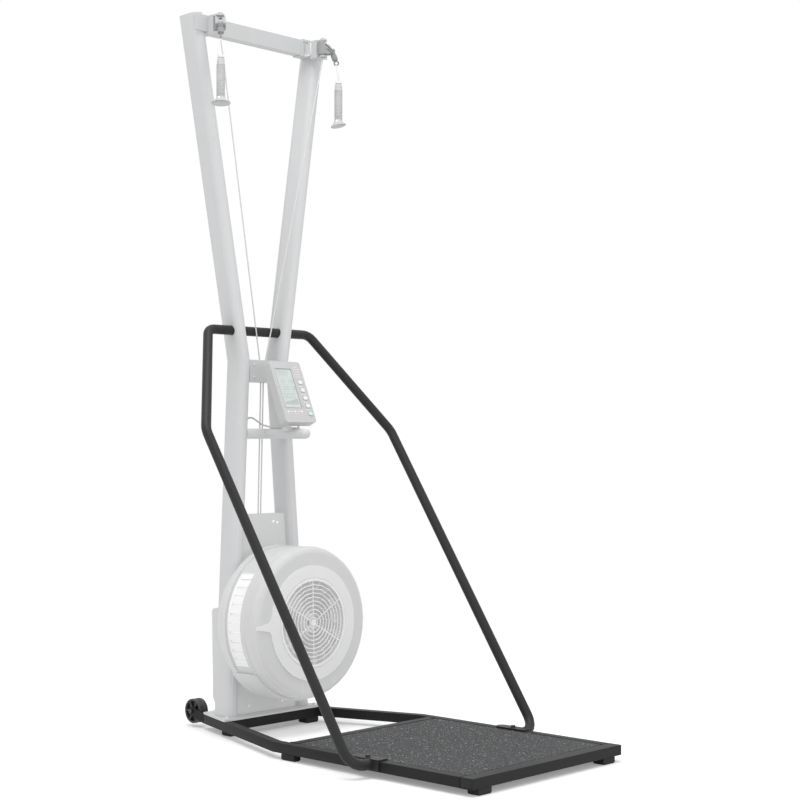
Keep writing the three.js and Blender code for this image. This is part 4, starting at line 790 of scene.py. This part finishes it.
def button_head(radius, height):
    """A low round head with a six-sided recess"""
    sides, sixth = 18, math.pi / 3
    outer = [(radius, 0), (radius, height * 0.35), (radius * 0.86, height * 0.75), (radius * 0.6, height)]
    bm = turned([(0, -height * 0.2), (radius, -height * 0.2), *outer], sides)
    rings = [[v for v in bm.verts if v.co.z > height * 0.99]]
    for z in (height, height * 0.35):
        ring = []
        for index in range(sides):
            angle = 2 * math.pi * index / sides
            size = radius * 0.4 / math.cos((angle + sixth / 2) % sixth - sixth / 2)
            ring.append(bm.verts.new((size * math.cos(angle), size * math.sin(angle), z)))
        rings.append(ring)
    for ring in rings:
        ring.sort(key=lambda v: math.atan2(v.co.y, v.co.x))
    bridge(bm, rings)
    bm.faces.new(rings[-1])
    return bm


def hex_head(radius, height):
    """A six-sided bolt head on a round washer, with chamfered corners"""
    low, high, rim = -height * 0.1, height * 0.16, radius * 1.35
    washer = turned([(0, low), (rim, low), (rim, high), (0, high)], 24)
    low, high = height * 0.1, height * 0.86
    nut = turned([(0, low), (radius, low), (radius, high), (radius * 0.86, height), (0, height)], 6)
    return joined([washer, nut])


def dome(radius, height):
    """A low rounded head"""
    profile = [(0, -height * 0.2), (radius, -height * 0.2), (radius, height * 0.2)]
    for step in range(1, 6):
        angle = math.pi / 2 * step / 5
        profile.append((radius * math.cos(angle), height * (0.2 + 0.8 * math.sin(angle))))
    profile[-1] = (0, height)
    return turned(profile, 20)


# Finishes by name


def recipes():
    """How each finish is made: its maker, the material's name, its colour and the maker's other values

    For a coat these are roughness, grain scale, spread of shade, relief, the relief's depth in
    millimetres, scuffs, dust, glow of painted light and sheen.
    """
    scene = bpy.context.scene
    stand, posts, fan = scene.ski_stand, scene.ski_tower, scene.ski_fan
    pulls, monitor = scene.ski_pulls, scene.ski_monitor
    frame_paint, strap, pale = darker(stand.paint, 0.45), darker(pulls.cord, 1.15), (0.8, 0.8, 0.8)
    return {
        "stand_paint": (coat, "Stand Paint", stand.paint, 0.44, 1300, 0.2, 0.12, 0.1, 0.3, 0.03, 0.0, 0.22),
        # Painted shade: the square tubes take a darker copy of the stand paint
        "frame_paint": (coat, "Frame Paint", frame_paint, 0.5, 1300, 0.2, 0.12, 0.1, 0.3, 0.03, 0.0, 0.2),
        "deck_board": (coat, "Deck Board", (0.03, 0.03, 0.03), 0.7, 400, 0.2, 0.3, 0.3, 0.2, 0.1),
        "foot_rubber": (coat, "Foot Rubber", stand.rubber, 0.75, 700, 0.15, 0.3, 0.2, 0.2, 0.15, 0.0, 0.3),
        "wheel_nylon": (coat, "Wheel Nylon", stand.wheel, 0.5, 900, 0.12, 0.25, 0.2, 0.35, 0.08),
        "mat": (speckled_rubber, "Speckled Mat", stand.mat, stand.fleck, stand.fleck_scale),
        # Painted light: the glow given last to the tower, cover, screen, liner, fan wheel, head and rivet
        # coats lifts their shade
        "tower_paint": (coat, "Tower Paint", posts.paint, 0.48, 1300, 0.035, 0.2, 0.2, 0.12, 0.04, 0.14),
        "casting_paint": (coat, "Casting Paint", posts.casting, 0.5, 800, 0.05, 0.3, 0.2, 0.15, 0.05, 0.28),
        "cover_plastic": (coat, "Cover Plastic", posts.plastic, 0.55, 700, 0.04, 0.35, 0.3, 0.12, 0.05, 0.5),
        # The drum's shells take a paler grey inside and a glow: painted light over the shade within the drum
        "drum_plastic": (painted_light_inside, "Drum Plastic", fan.housing, pale, 0.2134, -0.2185),
        "back_plastic": (painted_light_inside, "Back Cover Plastic", fan.back, pale, 0.198, -10.0, 0.55),
        "damper_plastic": (coat, "Damper Plastic", fan.damper, 0.45, 900, 0.03, 0.2, 0.2, 0.12, 0.04),
        "grille_plastic": (coat, "Grille Plastic", fan.grille, 0.42, 900, 0.04, 0.15, 0.1, 0.1, 0.04),
        "screen_plastic": (coat, "Screen Plastic", fan.screen, 0.5, 900, 0.03, 0.2, 0.2, 0.1, 0.03, 0.1),
        "liner_mesh": (coat, "Liner Mesh", (0.95, 0.95, 0.95), 0.6, 900, 0.02, 0.2, 0.2, 0.05, 0.02, 0.1),
        "fan_plastic": (coat, "Fan Wheel Plastic", fan.wheel, 0.55, 600, 0.06, 0.3, 0.3, 0.1, 0.1, 0.16),
        "head_paint": (coat, "Head Paint", pulls.head, 0.5, 900, 0.06, 0.25, 0.2, 0.2, 0.05, 0.3),
        "pulley_nylon": (coat, "Pulley Nylon", (0.5, 0.5, 0.5), 0.5, 900, 0.05, 0.15, 0.1, 0.2, 0.02),
        "grip_rubber": (coat, "Grip Rubber", pulls.grip, 0.68, 1600, 0.09, 0.5, 0.3, 0.2, 0.04, 0.0, 0.35),
        "cord_braid": (braided, "Cord Braid", pulls.cord),
        "handle_strap": (strap_and_ring, "Handle Strap", strap, pulls.head, 1.985),
        "case_plastic": (coat, "Monitor Plastic", monitor.case, 0.5, 1100, 0.04, 0.3, 0.2, 0.1, 0.04),
        "overlay": (coat, "Face Overlay", monitor.panel, 0.35, 2200, 0.03, 0.12, 0.1, 0.08, 0.03),
        "label_print": (coat, "Label Print", monitor.label, 0.4, 2200, 0.05, 0.1, 0.1, 0.1, 0.02),
        # White print for the monitor's labels, also used for the painted highlight strips on the top brackets
        "white_print": (coat, "White Print", (0.76, 0.75, 0.75), 0.4, 2200, 0.04, 0.1, 0.1, 0.1, 0.02),
        "rivet_white": (coat, "Rivet White", (0.88, 0.88, 0.88), 0.4, 1500, 0.02, 0.1, 0.1, 0.0, 0.0, 0.1),
        "display": (glossy_window, "Display Glass", monitor.display),
        "digits": (coat, "Display Digits", monitor.ink, 0.3, 2000, 0.05, 0.05, 0.1, 0.0, 0.0),
        "key_rubber": (coat, "White Key Rubber", monitor.key, 0.6, 1500, 0.03, 0.2, 0.1, 0.1, 0.03),
        "start_rubber": (coat, "Green Key Rubber", monitor.start_key, 0.6, 1500, 0.04, 0.2, 0.1, 0.1, 0.03),
        "lead_jacket": (coat, "Lead Jacket", monitor.lead, 0.5, 1500, 0.05, 0.2, 0.1, 0.1, 0.04),
        "steel": (steel, "Bright Steel", (0.62, 0.62, 0.63), 0.28),
        "dark_steel": (steel, "Blackened Steel", (0.09, 0.09, 0.095), 0.42),
        "pale_steel": (steel, "Pale Plated Steel", (0.78, 0.78, 0.79), 0.36),
    }


FINISHES = {}


def finish(name):
    """Makes each finish once, from the colours in the settings"""
    if name not in FINISHES:
        maker, *values = recipes()[name]
        FINISHES[name] = maker(*values)
    return FINISHES[name]


# Operators


class SKI_OT_stage(Operator):
    """Camera, studio floor, even sky and three soft lamps"""

    bl_idname = "ski.stage"
    bl_label = "Build stage"

    def execute(self, context):
        settings = context.scene.ski_stage
        context.scene.view_settings.view_transform = "Standard"
        camera_data = bpy.data.cameras.new("Camera")
        camera_data.lens = settings.lens
        camera_data.sensor_width = 36
        camera_data.clip_end = 100
        camera = bpy.data.objects.new("Camera", camera_data)
        camera.location = (-3.226, -3.616 + ORIGIN_SHIFT, 0.847)
        camera.rotation_euler = (math.radians(91.38), 0, math.radians(-46.72))
        context.scene.collection.objects.link(camera)
        context.scene.camera = camera
        self.floor(settings)
        self.sky(context, settings)
        self.lamp("Top lamp", (-0.6, -0.3, 4.2), (0, 0, 0.6), 3.2, settings.top_light)
        self.lamp("Side lamp", (-3.8, 0.6, 2.2), (0, 0, 0.9), 2.4, settings.side_light)
        self.lamp("Front lamp", (-0.5, -4.2, 1.0), (0, 0.3, 0.6), 1.6, settings.front_light)
        return {"FINISHED"}

    def floor(self, settings):
        bm = bmesh.new()
        bmesh.ops.create_circle(bm, cap_ends=True, segments=96, radius=40)
        mesh = bpy.data.meshes.new("studio_floor")
        bm.to_mesh(mesh)
        bm.free()
        floor = bpy.data.objects.new("studio_floor", mesh)
        bpy.context.scene.collection.objects.link(floor)
        material, tree, shader, place = new_material("Studio Floor")
        colour = (*settings.floor_colour, 1)
        connect(tree, shader, {"Base Color": colour, "Roughness": 0.9, "Specular IOR Level": 0.0})
        plain = tree.nodes["Principled BSDF"].outputs[0]
        lift = add(tree, "ShaderNodeEmission", {"Color": WHITE, "Strength": 0.22}).outputs[0]
        lifted = add(tree, "ShaderNodeAddShader", {0: plain, 1: lift}).outputs[0]
        white = add(tree, "ShaderNodeEmission", {"Color": WHITE, "Strength": 1.0}).outputs[0]
        away = add(tree, "ShaderNodeVectorMath", {0: place["Object"]}, operation="LENGTH").outputs["Value"]
        spread = mixed_shaders(tree, ramp(tree, away, 1.3, 2.4), lifted, white)
        shown = mixed_shaders(tree, self.seen(tree), plain, spread)
        connect(tree, tree.nodes["Material Output"].inputs, {"Surface": shown})
        mesh.materials.append(material)

    def seen(self, tree, *more):
        """One where a ray comes from the camera, a reflection or another named kind"""
        rays = tree.nodes.new("ShaderNodeLightPath").outputs
        total = math_node(tree, "ADD", rays["Is Camera Ray"], rays["Is Glossy Ray"], True)
        for kind in more:
            total = math_node(tree, "ADD", total, rays[kind], True)
        return total

    def sky(self, context, settings):
        world = bpy.data.worlds.new("Studio Sky")
        world.use_nodes = True
        context.scene.world = world
        tree = world.node_tree
        light = tree.nodes["Background"]
        connect(tree, light.inputs, {"Color": WHITE, "Strength": settings.world_light})
        white = add(tree, "ShaderNodeBackground", {"Color": WHITE, "Strength": 1.0}).outputs[0]
        shown = mixed_shaders(tree, self.seen(tree, "Is Transmission Ray"), light.outputs[0], white)
        connect(tree, tree.nodes["World Output"].inputs, {"Surface": shown})

    def lamp(self, name, place, target, size, power):
        data = bpy.data.lights.new(name, "AREA")
        data.shape = "DISK"
        data.size = size
        data.energy = power
        lamp = bpy.data.objects.new(name, data)
        lamp.location = place
        lamp.rotation_euler = (Vector(target) - Vector(place)).to_track_quat("-Z", "Y").to_euler()
        bpy.context.scene.collection.objects.link(lamp)


# The lead's corners in millimetres from the tower's foot, from the left upright to the arm
LEAD_CORNERS = (
    (-65.88, 0, 895.8),
    (-40, -12, 913.5),
    (-14.5, -35, 889),
    (-2.5, -66, 880.8),
    (0, -128.29, 880.8),
)


class SKI_OT_lead(Operator):
    """The monitor's lead, from the left upright over to the arm, with its moulded sleeve"""

    bl_idname = "ski.lead"
    bl_label = "Build monitor lead"

    def execute(self, context):
        bend = 0.015
        path = bent_path([tower(*corner) for corner in LEAD_CORNERS], (bend, bend, bend), 8)
        lead = piece("lead_jacket", sweep(path, 0.0025, 16), "lead_jacket", "frame")
        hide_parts("monitor_lead")
        way = (path[1] - path[0]).normalized()
        sleeve_path = [path[0] + way * (0.002 + 0.0022 * step) for step in range(6)]
        sleeve = sweep(sleeve_path, lambda step: 0.0042 - 0.00024 * step, 16)
        sleeve_piece = piece("lead_sleeve", sleeve, "foot_rubber", "frame")
        return {"FINISHED"}


def head_ways(sign):
    """Which way a pulley head points, and which way its axle lies"""
    turn, lie = math.sin(HEAD_TOE), math.cos(HEAD_TOE)
    return Vector((sign * turn, -lie, 0)), Vector((lie, sign * turn, 0))


class SKI_OT_cords(Operator):
    """The driving cords between the heads and the base, and the lengths that pull out of the heads"""

    bl_idname = "ski.cords"
    bl_label = "Build cords"

    def execute(self, context):
        for side, sign in SIDES:
            corners = [(5, -5, 596), (5, -17, 1049.88), (HEAD_X, HEAD_Y, 2011.5), (HEAD_X, HEAD_Y, HEAD_AXLE)]
            path = bent_path([tower(sign * x, y, z) for x, y, z in corners], (0.0183, 0.01), 10)
            dense = self.dense(path, 0.02)
            cord = piece(f"drive_braid_{side}", sweep(dense, 0.002, 12), "cord_braid", "frame")
            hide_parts(f"drive_cord_{side}")
            self.pull_line(side, sign)
        return {"FINISHED"}

    def dense(self, path, most):
        points = [path[0]]
        for start, end in zip(path, path[1:]):
            count = max(1, math.ceil((end - start).length / most))
            points.extend(start.lerp(end, step / count) for step in range(1, count + 1))
        return points

    def pull_line(self, side, sign):
        away = head_ways(sign)[0]
        way = away * math.sin(LINE_ANGLE) + Vector((0, 0, -math.cos(LINE_ANGLE)))
        top = tower(sign * HEAD_X, HEAD_Y, 2040.1) + away * 0.02328
        start, end = top + way * 0.018, top + way * 0.034
        path = [start.lerp(end, step / 40) for step in range(41)]
        line = piece(f"pull_line_{side}", sweep(path, 0.0019, 10), "cord_braid", None)
        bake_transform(line)


class SKI_OT_stand(Operator):
    """Floor frame, deck, feet and wheel brackets with tube plugs and weld beads"""

    bl_idname = "ski.stand"
    bl_label = "Finish stand"

    def execute(self, context):
        settings = context.scene.ski_stand
        paint = "frame_paint"
        for name in ("side_tube_left", "side_tube_right", "front_tube", "deck_tube", "rear_cross_tube"):
            dress(f"stand_{name}", paint, settings.edge_radius, 3)
        dress("deck_panel", "deck_board", 0.0015)
        for side, _ in SIDES:
            for place in ("front", "middle", "rear"):
                dress(f"foot_{place}_{side}", "foot_rubber", 0.002, 3)
            dress(f"wheel_bracket_{side}", paint, 0.0006)
        self.plugs()
        self.beads()
        return {"FINISHED"}

    def plugs(self):
        low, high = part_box("stand_front_tube")
        middle = (low + high) / 2
        for side, sign in SIDES:
            place = Matrix.Translation((sign * (high.x - 0.0012), middle.y, middle.z))
            plug = box_mesh((0.002, high.y - low.y - 0.005, high.z - low.z - 0.005), place, 0.0008)
            piece(f"tube_plug_{side}", plug, "foot_rubber", "frame")

    def beads(self):
        """Weld beads where the cross tubes meet the side tubes"""
        spots, count, inset = [], 7, 0.002
        for node in ("stand_deck_tube", "stand_rear_cross_tube"):
            low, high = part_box(node)
            for sign in (-1, 1):
                x = sign * (high.x - inset)
                for edge in (low.y, high.y):
                    spots += [((x, edge, low.z + 0.003 + step * 0.0035), UP) for step in range(count)]
                gap = (high.y - low.y - 2 * inset) / (count - 1)
                spots += [((x, low.y + inset + step * gap, high.z), UP) for step in range(count)]
        grow("weld_beads", "spots", dome(0.0022, 0.0012), "frame_paint", "frame", spots, slot="black_tube")


class SKI_OT_mat(Operator):
    """The speckled mat with its rounded edge"""

    bl_idname = "ski.mat"
    bl_label = "Finish mat"

    def execute(self, context):
        dress("deck_mat", "mat", 0.0015, 3)
        return {"FINISHED"}


class SKI_OT_wheels(Operator):
    """Transport wheels with their axle bolts"""

    bl_idname = "ski.wheels"
    bl_label = "Finish wheels"

    def execute(self, context):
        for side, sign in SIDES:
            dress(f"wheel_{side}", "wheel_nylon", 0.0006)
            low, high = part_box(f"wheel_{side}")
            middle = (low + high) / 2
            for way in (-1, 1):
                start = (middle.x + way * 0.1, middle.y, middle.z)
                hit, _ = surface(f"wheel_bracket_{side}", start, (-way, 0, 0))
                spots = [(hit, (way, 0, 0))]
                name = f"axle_bolt_{side}_{'outer' if way == sign else 'inner'}"
                grow(name, "spots", dome(0.0062, 0.003), "dark_steel", "frame", spots, slot="black_tube")
        return {"FINISHED"}


class SKI_OT_rails(Operator):
    """Bent guard rails and the bolts at their feet"""

    bl_idname = "ski.rails"
    bl_label = "Finish rails"

    def execute(self, context):
        paint = "stand_paint"
        for side, sign in SIDES:
            for length in ("upper", "lower"):
                dress(f"rail_{length}_{side}", paint)
            self.foot_bolt(side, sign)
        dress("rail_cross_tube", paint)
        return {"FINISHED"}

    def foot_bolt(self, side, sign):
        over, _ = surface(f"rail_lower_{side}", tower(sign * 280, -738, 200), DOWN)
        hole = tower(sign * 287.6, -738, 0)
        spots = [((hole.x, hole.y, over.z), UP)]
        head = hex_head(0.0066, 0.006)
        grow(f"rail_bolt_{side}", "spots", head, "dark_steel", "frame", spots, slot="black_tube")


class SKI_OT_tower(Operator):
    """Uprights, crossbar, corner brackets with painted highlight strips, box of waist pulleys and their bolts
    """

    bl_idname = "ski.tower"
    bl_label = "Finish tower"

    def execute(self, context):
        settings = context.scene.ski_tower
        for side, _ in SIDES:
            dress(f"upright_{side}", "tower_paint", 0.0008)
            dress(f"top_bracket_{side}", "casting_paint", 0.0005)
            dress(f"waist_pulley_{side}", "pulley_nylon", 0.0003)
        dress("top_crossbar", "casting_paint", settings.edge_radius, 3)
        for name, edge in (("waist_pulley_box", 0.0006), ("tower_foot_plate", 0.0008), ("monitor_arm", 0.0)):
            dress(name, "tower_paint", edge)
        self.bolts(settings)
        self.painted_highlights()
        return {"FINISHED"}

    def bolts(self, settings):
        places = ((-171, -62), (171, -62), (-118, 56), (118, 56))
        spots = [(surface("tower_foot_plate", tower(x, y, 200), DOWN)[0], UP) for x, y in places]
        head = hex_head(settings.bolt_radius * 0.85, 0.005)
        grow("foot_plate_bolts", "spots", head, "pale_steel", "frame", spots, slot="bearing_steel")
        places = [tower(x, -200, z) for x in (-38, 38) for z in (1030, 1066)]
        spots = [surface("waist_pulley_box", place, BACKWARDS) for place in places]
        head = button_head(0.004, 0.0022)
        grow("waist_box_screws", "spots", head, "pale_steel", "frame", spots, slot="bearing_steel")

    def painted_highlights(self):
        """Pale strips of painted highlight along the inner edge of each top bracket"""
        sizes = (
            ((0.0014, 0.0046, 0.036), (191.8, -21.5, 2042)),
            ((0.0014, 0.021, 0.0034), (190.2, -8, 2024)),
        )
        for side, sign in SIDES:
            strips = [
                box_mesh(size, Matrix.Translation(tower(sign * x, y, z)), 0.0004) for size, (x, y, z) in sizes
            ]
            piece(f"bracket_lining_{side}", joined(strips), "white_print", "frame")


class SKI_OT_base(Operator):
    """Base covers with their pale bolts and the row of narrow louvres"""

    bl_idname = "ski.base"
    bl_label = "Finish base covers"

    def execute(self, context):
        settings = context.scene.ski_tower
        for name in ("base_front_panel", "rear_housing"):
            dress(name, "cover_plastic", settings.edge_radius * 0.6)
        places = ((38, 603), (54, 599), (-54, 599), (-66, 70), (66, 70))
        spots = [surface("base_front_panel", tower(x, -300, z), BACKWARDS) for x, z in places]
        head = button_head(settings.bolt_radius * 0.7, 0.0028)
        grow("base_bolts", "spots", head, "rivet_white", "frame", spots, slot="light_plastic")
        self.louvres()
        return {"FINISHED"}

    def louvres(self):
        place = Matrix.Translation(surface("base_front_panel", tower(-84, -300, 78), BACKWARDS)[0])
        slat = box_mesh((0.034, 0.0022, 0.0016), Matrix.Identity(4), 0.0006)
        grow(
            "base_louvres", "row", slat, "cover_plastic", "frame", place=place, slot="grey_plastic",
            Count=5, Step=(0, 0.0001, 0.005),
        )


class SKI_OT_fan(Operator):
    """Fan housing with its back screws, side screens, a pale glowing sheet of painted light behind them,
    damper, grille and bladed wheel
    """

    bl_idname = "ski.fan"
    bl_label = "Finish fan"

    def execute(self, context):
        settings = context.scene.ski_fan
        finishes = {
            "fan_housing_back": ("back_plastic", "grey_plastic"),
            "fan_housing_front": ("drum_plastic", "grey_plastic"),
            "fan_side_screen": ("screen_plastic", "light_plastic"),
            "damper_ring": ("damper_plastic", "light_plastic"),
            "fan_grille": ("grille_plastic", "light_plastic"),
            "fan_wheel": ("fan_plastic", "grey_plastic"),
            "fan_shaft": ("steel", "bearing_steel"),
            "fan_bearing": ("steel", "bearing_steel"),
        }
        for node, (name, slot) in finishes.items():
            dress(node, name)
        self.screws(settings)
        self.liner()
        return {"FINISHED"}

    def screws(self, settings):
        """Screws round the back of the drum, on a circle about its leaning axis"""
        behind = 0.735
        middle = Vector((0, ORIGIN_SHIFT + behind, FAN_HEIGHT - behind * math.tan(FAN_LEAN)))
        hit, _ = surface("fan_housing_back", middle + Vector((settings.screw_circle, 0, 0)), -FAN_AXIS)
        place = aim((0, hit.y, hit.z), FAN_AXIS)
        grow(
            "drum_screws", "circle", button_head(0.0042, 0.002), "pale_steel", "frame", place=place,
            slot="bearing_steel", Count=settings.screw_count, Radius=settings.screw_circle,
        )

    def liner(self):
        """A pale glowing sheet just inside the side screens, behind their slots: painted light that fills the
        shade in the slots
        """
        turn = Matrix.Rotation(-FAN_LEAN, 4, "X")
        drop = Vector((0, math.sin(FAN_LEAN), math.cos(FAN_LEAN))) * FAN_HANG
        shift = Matrix.Translation(Vector((0, ORIGIN_SHIFT, FAN_HEIGHT + FAN_HANG)) - drop)
        outside, inside, front, back = 0.2065, 0.2059, -0.15, -0.0985
        section = ((outside, back), (outside, front), (inside, front), (inside, back))
        made = []
        for sign in (-1, 1):
            bm = bmesh.new()
            rows = []
            for step in range(41):
                angle = math.radians(6 + 37.5 * (step / 20 - 1))
                across, up = sign * math.cos(angle), math.sin(angle)
                rows.append([bm.verts.new((size * across, y, size * up)) for size, y in section])
            bridge(bm, rows)
            bm.faces.new(rows[0])
            bm.faces.new(rows[-1])
            bmesh.ops.transform(bm, matrix=shift @ turn, verts=bm.verts)
            made.append(bm)
        piece("side_liner", joined(made), "liner_mesh", "frame")


class SKI_OT_heads(Operator):
    """Swivelling pulley heads with their grooved wheels and axle pins"""

    bl_idname = "ski.heads"
    bl_label = "Finish pulley heads"

    def execute(self, context):
        for side, sign in SIDES:
            dress(f"pulley_head_{side}", "head_paint", 0.0004)
            dress(f"head_pulley_{side}", "pulley_nylon", 0.0003)
            self.pins(side, sign)
        return {"FINISHED"}

    def pins(self, side, sign):
        away, across = head_ways(sign)
        axle = tower(sign * HEAD_X, HEAD_Y, HEAD_AXLE) + away * 0.012
        spots = []
        for way in (-1, 1):
            hit, _ = surface(f"pulley_head_{side}", axle + across * way * 0.05, across * -way)
            spots.append((hit, across * way))
        pin = dome(0.0038, 0.0016)
        grow(f"head_pin_{side}", "spots", pin, "head_paint", f"head_{side}", spots, slot="bearing_steel")


class SKI_OT_handles(Operator):
    """Handles with ribbed grips and their short straps"""

    bl_idname = "ski.handles"
    bl_label = "Finish handles"

    def execute(self, context):
        settings = context.scene.ski_pulls
        for side, sign in SIDES:
            dress(f"handle_{side}", "grip_rubber")
            dress(f"handle_cord_{side}", "handle_strap")
            self.rivets(side, sign)
            self.ribs(side, sign, settings)
        return {"FINISHED"}

    def rivets(self, side, sign):
        """Two pale rivets low on each grip"""
        middle = tower(sign * HANDLE_X, HANDLE_Y, 1813.5)
        spots = []
        for angle in (math.radians(205), math.radians(335)):
            way = Vector((math.cos(angle), math.sin(angle), 0))
            spots.append(surface(f"handle_{side}", middle + way * 0.06, -way))
        rivet, body = dome(0.0034, 0.0014), f"handle_{side}"
        grow(f"grip_rivets_{side}", "spots", rivet, "rivet_white", body, spots, slot="light_plastic")

    def ribs(self, side, sign, settings):
        """Fine ribs round each grip, down from just under its top"""
        _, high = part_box(f"handle_{side}")
        foot, crest, half = 0.0112, 0.0127, 0.0011
        shoulder, slope = 0.0123, 0.0008
        rib = turned([(foot, -half), (shoulder, -slope), (crest, 0), (shoulder, slope), (foot, half)], 40)
        start = tower(sign * HANDLE_X, HANDLE_Y, 0)
        start.z = high.z - 0.016 - settings.rib_count * settings.rib_pitch
        grow(
            f"grip_ribs_{side}", "row", rib, "grip_rubber", f"handle_{side}", slot="grey_plastic",
            place=Matrix.Translation(start), Count=settings.rib_count, Step=(0, 0, settings.rib_pitch),
        )


# How far the display's figures stand from the monitor's face, in millimetres
IN_DISPLAY = -1.6

# The bars of a seven-part figure, lettered as on any such display
SEGMENTS = {
    "0": "abcdef", "1": "bc", "2": "abged", "3": "abgcd", "4": "fgbc",
    "5": "afgcd", "6": "afgedc", "7": "abc", "8": "abcdefg", "9": "abcdfg",
}


class SKI_OT_monitor(Operator):
    """Monitor case, printed face, display figures and keys"""

    bl_idname = "ski.monitor"
    bl_label = "Finish monitor"

    def on_face(self, right, down, out):
        """A place on the monitor's face, in millimetres from its middle"""
        below = Vector((0, -math.sin(MONITOR_LEAN), -math.cos(MONITOR_LEAN)))
        proud = Vector((0, -math.cos(MONITOR_LEAN), math.sin(MONITOR_LEAN)))
        return tower(right, MONITOR_Y, MONITOR_Z) + (below * down + proud * out) * MM

    def face_place(self, right, down, out):
        turn = Matrix.Rotation(math.pi / 2 - MONITOR_LEAN, 4, "X")
        return Matrix.Translation(self.on_face(right, down, out)) @ turn

    def bar(self, right, down, out, width, height, thick=0.3, edge=0.0):
        return box_mesh((width * MM, height * MM, thick * MM), self.face_place(right, down, out), edge * MM)

    def execute(self, context):
        dress("monitor_case", "case_plastic", 0.001)
        dress("monitor_screen", "display", 0.0003)
        for number in range(1, 5):
            dress(f"key_{number}", "key_rubber", 0.0005)
        dress("key_start", "start_rubber", 0.0005)
        self.bezel()
        self.figures()
        self.labels()
        return {"FINISHED"}

    def bezel(self):
        bars = ((-13.5, -75, 66, 3), (-13.5, 50, 66, 3), (-46, -12.5, 3, 122), (19, -12.5, 3, 122))
        sides = [self.bar(right, down, 0.3, *size, 1.0, 0.3) for right, down, *size in bars]
        piece("display_bezel", joined(sides), "overlay", "monitor")

    def digit(self, mark, right, down, width, height, stroke):
        half = height / 2
        ends = {
            "a": (0, -half, 1), "g": (0, 0, 1), "d": (0, half, 1),
            "f": (-width / 2, -half / 2, 0), "b": (width / 2, -half / 2, 0),
            "e": (-width / 2, half / 2, 0), "c": (width / 2, half / 2, 0),
        }
        made = []
        for name in SEGMENTS[mark]:
            x, y, level = ends[name]
            size = (width - stroke, stroke) if level else (stroke, half - stroke)
            made.append(self.bar(right + x, down + y, IN_DISPLAY, *size, 0.1))
        return made

    def figures(self):
        """Rows of plain numbers and a row of level bars"""
        made = []
        for text, right, down, width, height in (
            ("0000", -34, -60, 7, 13), ("00", -30, -34, 6, 10), ("000", -2, -34, 6, 10),
            ("000", -30, -12, 6, 11), ("00", 4, -12, 6, 11), ("0000", -32, 12, 8, 13),
        ):
            for index, mark in enumerate(text):
                made.extend(self.digit(mark, right + index * (width + 3.5), down, width, height, 1.4))
        for index in range(11):
            made.append(self.bar(-38 + index * 4.8, 36 - index * 0.5, IN_DISPLAY, 3, 8 + index, 0.1))
        for down in (-47, -23, 0, 23):
            made.append(self.bar(-13.5, down, IN_DISPLAY, 54, 0.5, 0.1))
        piece("display_figures", joined(made), "digits", "monitor")

    def labels(self):
        pink, white = [], []
        for index in range(5):
            right, down = 38 + index * 0.4, -80 + index * 8
            pink.append(self.bar(right, down, 0.1, 22 if index % 2 else 15, 3.2, 0.25))
        for index in range(4):
            white.append(self.bar(38 + index, -17.5 + index * 25, 0.1, 17, 2, 0.25))
        for index in range(5):
            target = pink if index % 2 else white
            target.append(self.bar(-40 + index * 13, 63, 0.1, 9, 4.5, 0.25))
            pink.append(self.bar(-40 + index * 13, 71, 0.1, 10, 1.6, 0.25))
        piece("pink_labels", joined(pink), "label_print", "monitor")
        piece("white_labels", joined(white), "white_print", "monitor")


OPERATORS = (
    SKI_OT_stage, SKI_OT_lead, SKI_OT_cords, SKI_OT_stand, SKI_OT_mat, SKI_OT_wheels, SKI_OT_rails,
    SKI_OT_tower, SKI_OT_base, SKI_OT_fan, SKI_OT_heads, SKI_OT_handles, SKI_OT_monitor,
)


class SKI_PT_panel(Panel):
    """Lists the settings and the building steps"""

    bl_idname = "SKI_PT_panel"
    bl_label = "Ski Trainer"
    bl_space_type = "VIEW_3D"
    bl_region_type = "UI"
    bl_category = "Ski Trainer"

    def draw(self, context):
        for group, kind in GROUPS.items():
            box = self.layout.box()
            box.label(text=kind.__doc__)
            for name in kind.__annotations__:
                box.prop(getattr(context.scene, group), name)
        for operator in OPERATORS:
            self.layout.operator(operator.bl_idname)


def register():
    for kind in (*GROUPS.values(), *OPERATORS, SKI_PT_panel):
        bpy.utils.register_class(kind)
    for name, kind in GROUPS.items():
        setattr(bpy.types.Scene, name, PointerProperty(type=kind))


def unregister():
    for name in GROUPS:
        delattr(bpy.types.Scene, name)
    for kind in (SKI_PT_panel, *reversed(OPERATORS), *reversed(GROUPS.values())):
        bpy.utils.unregister_class(kind)


def main():
    register()
    for operator in OPERATORS:
        area, name = operator.bl_idname.split(".")
        getattr(getattr(bpy.ops, area), name)()


if __name__ == "__main__":
    main()
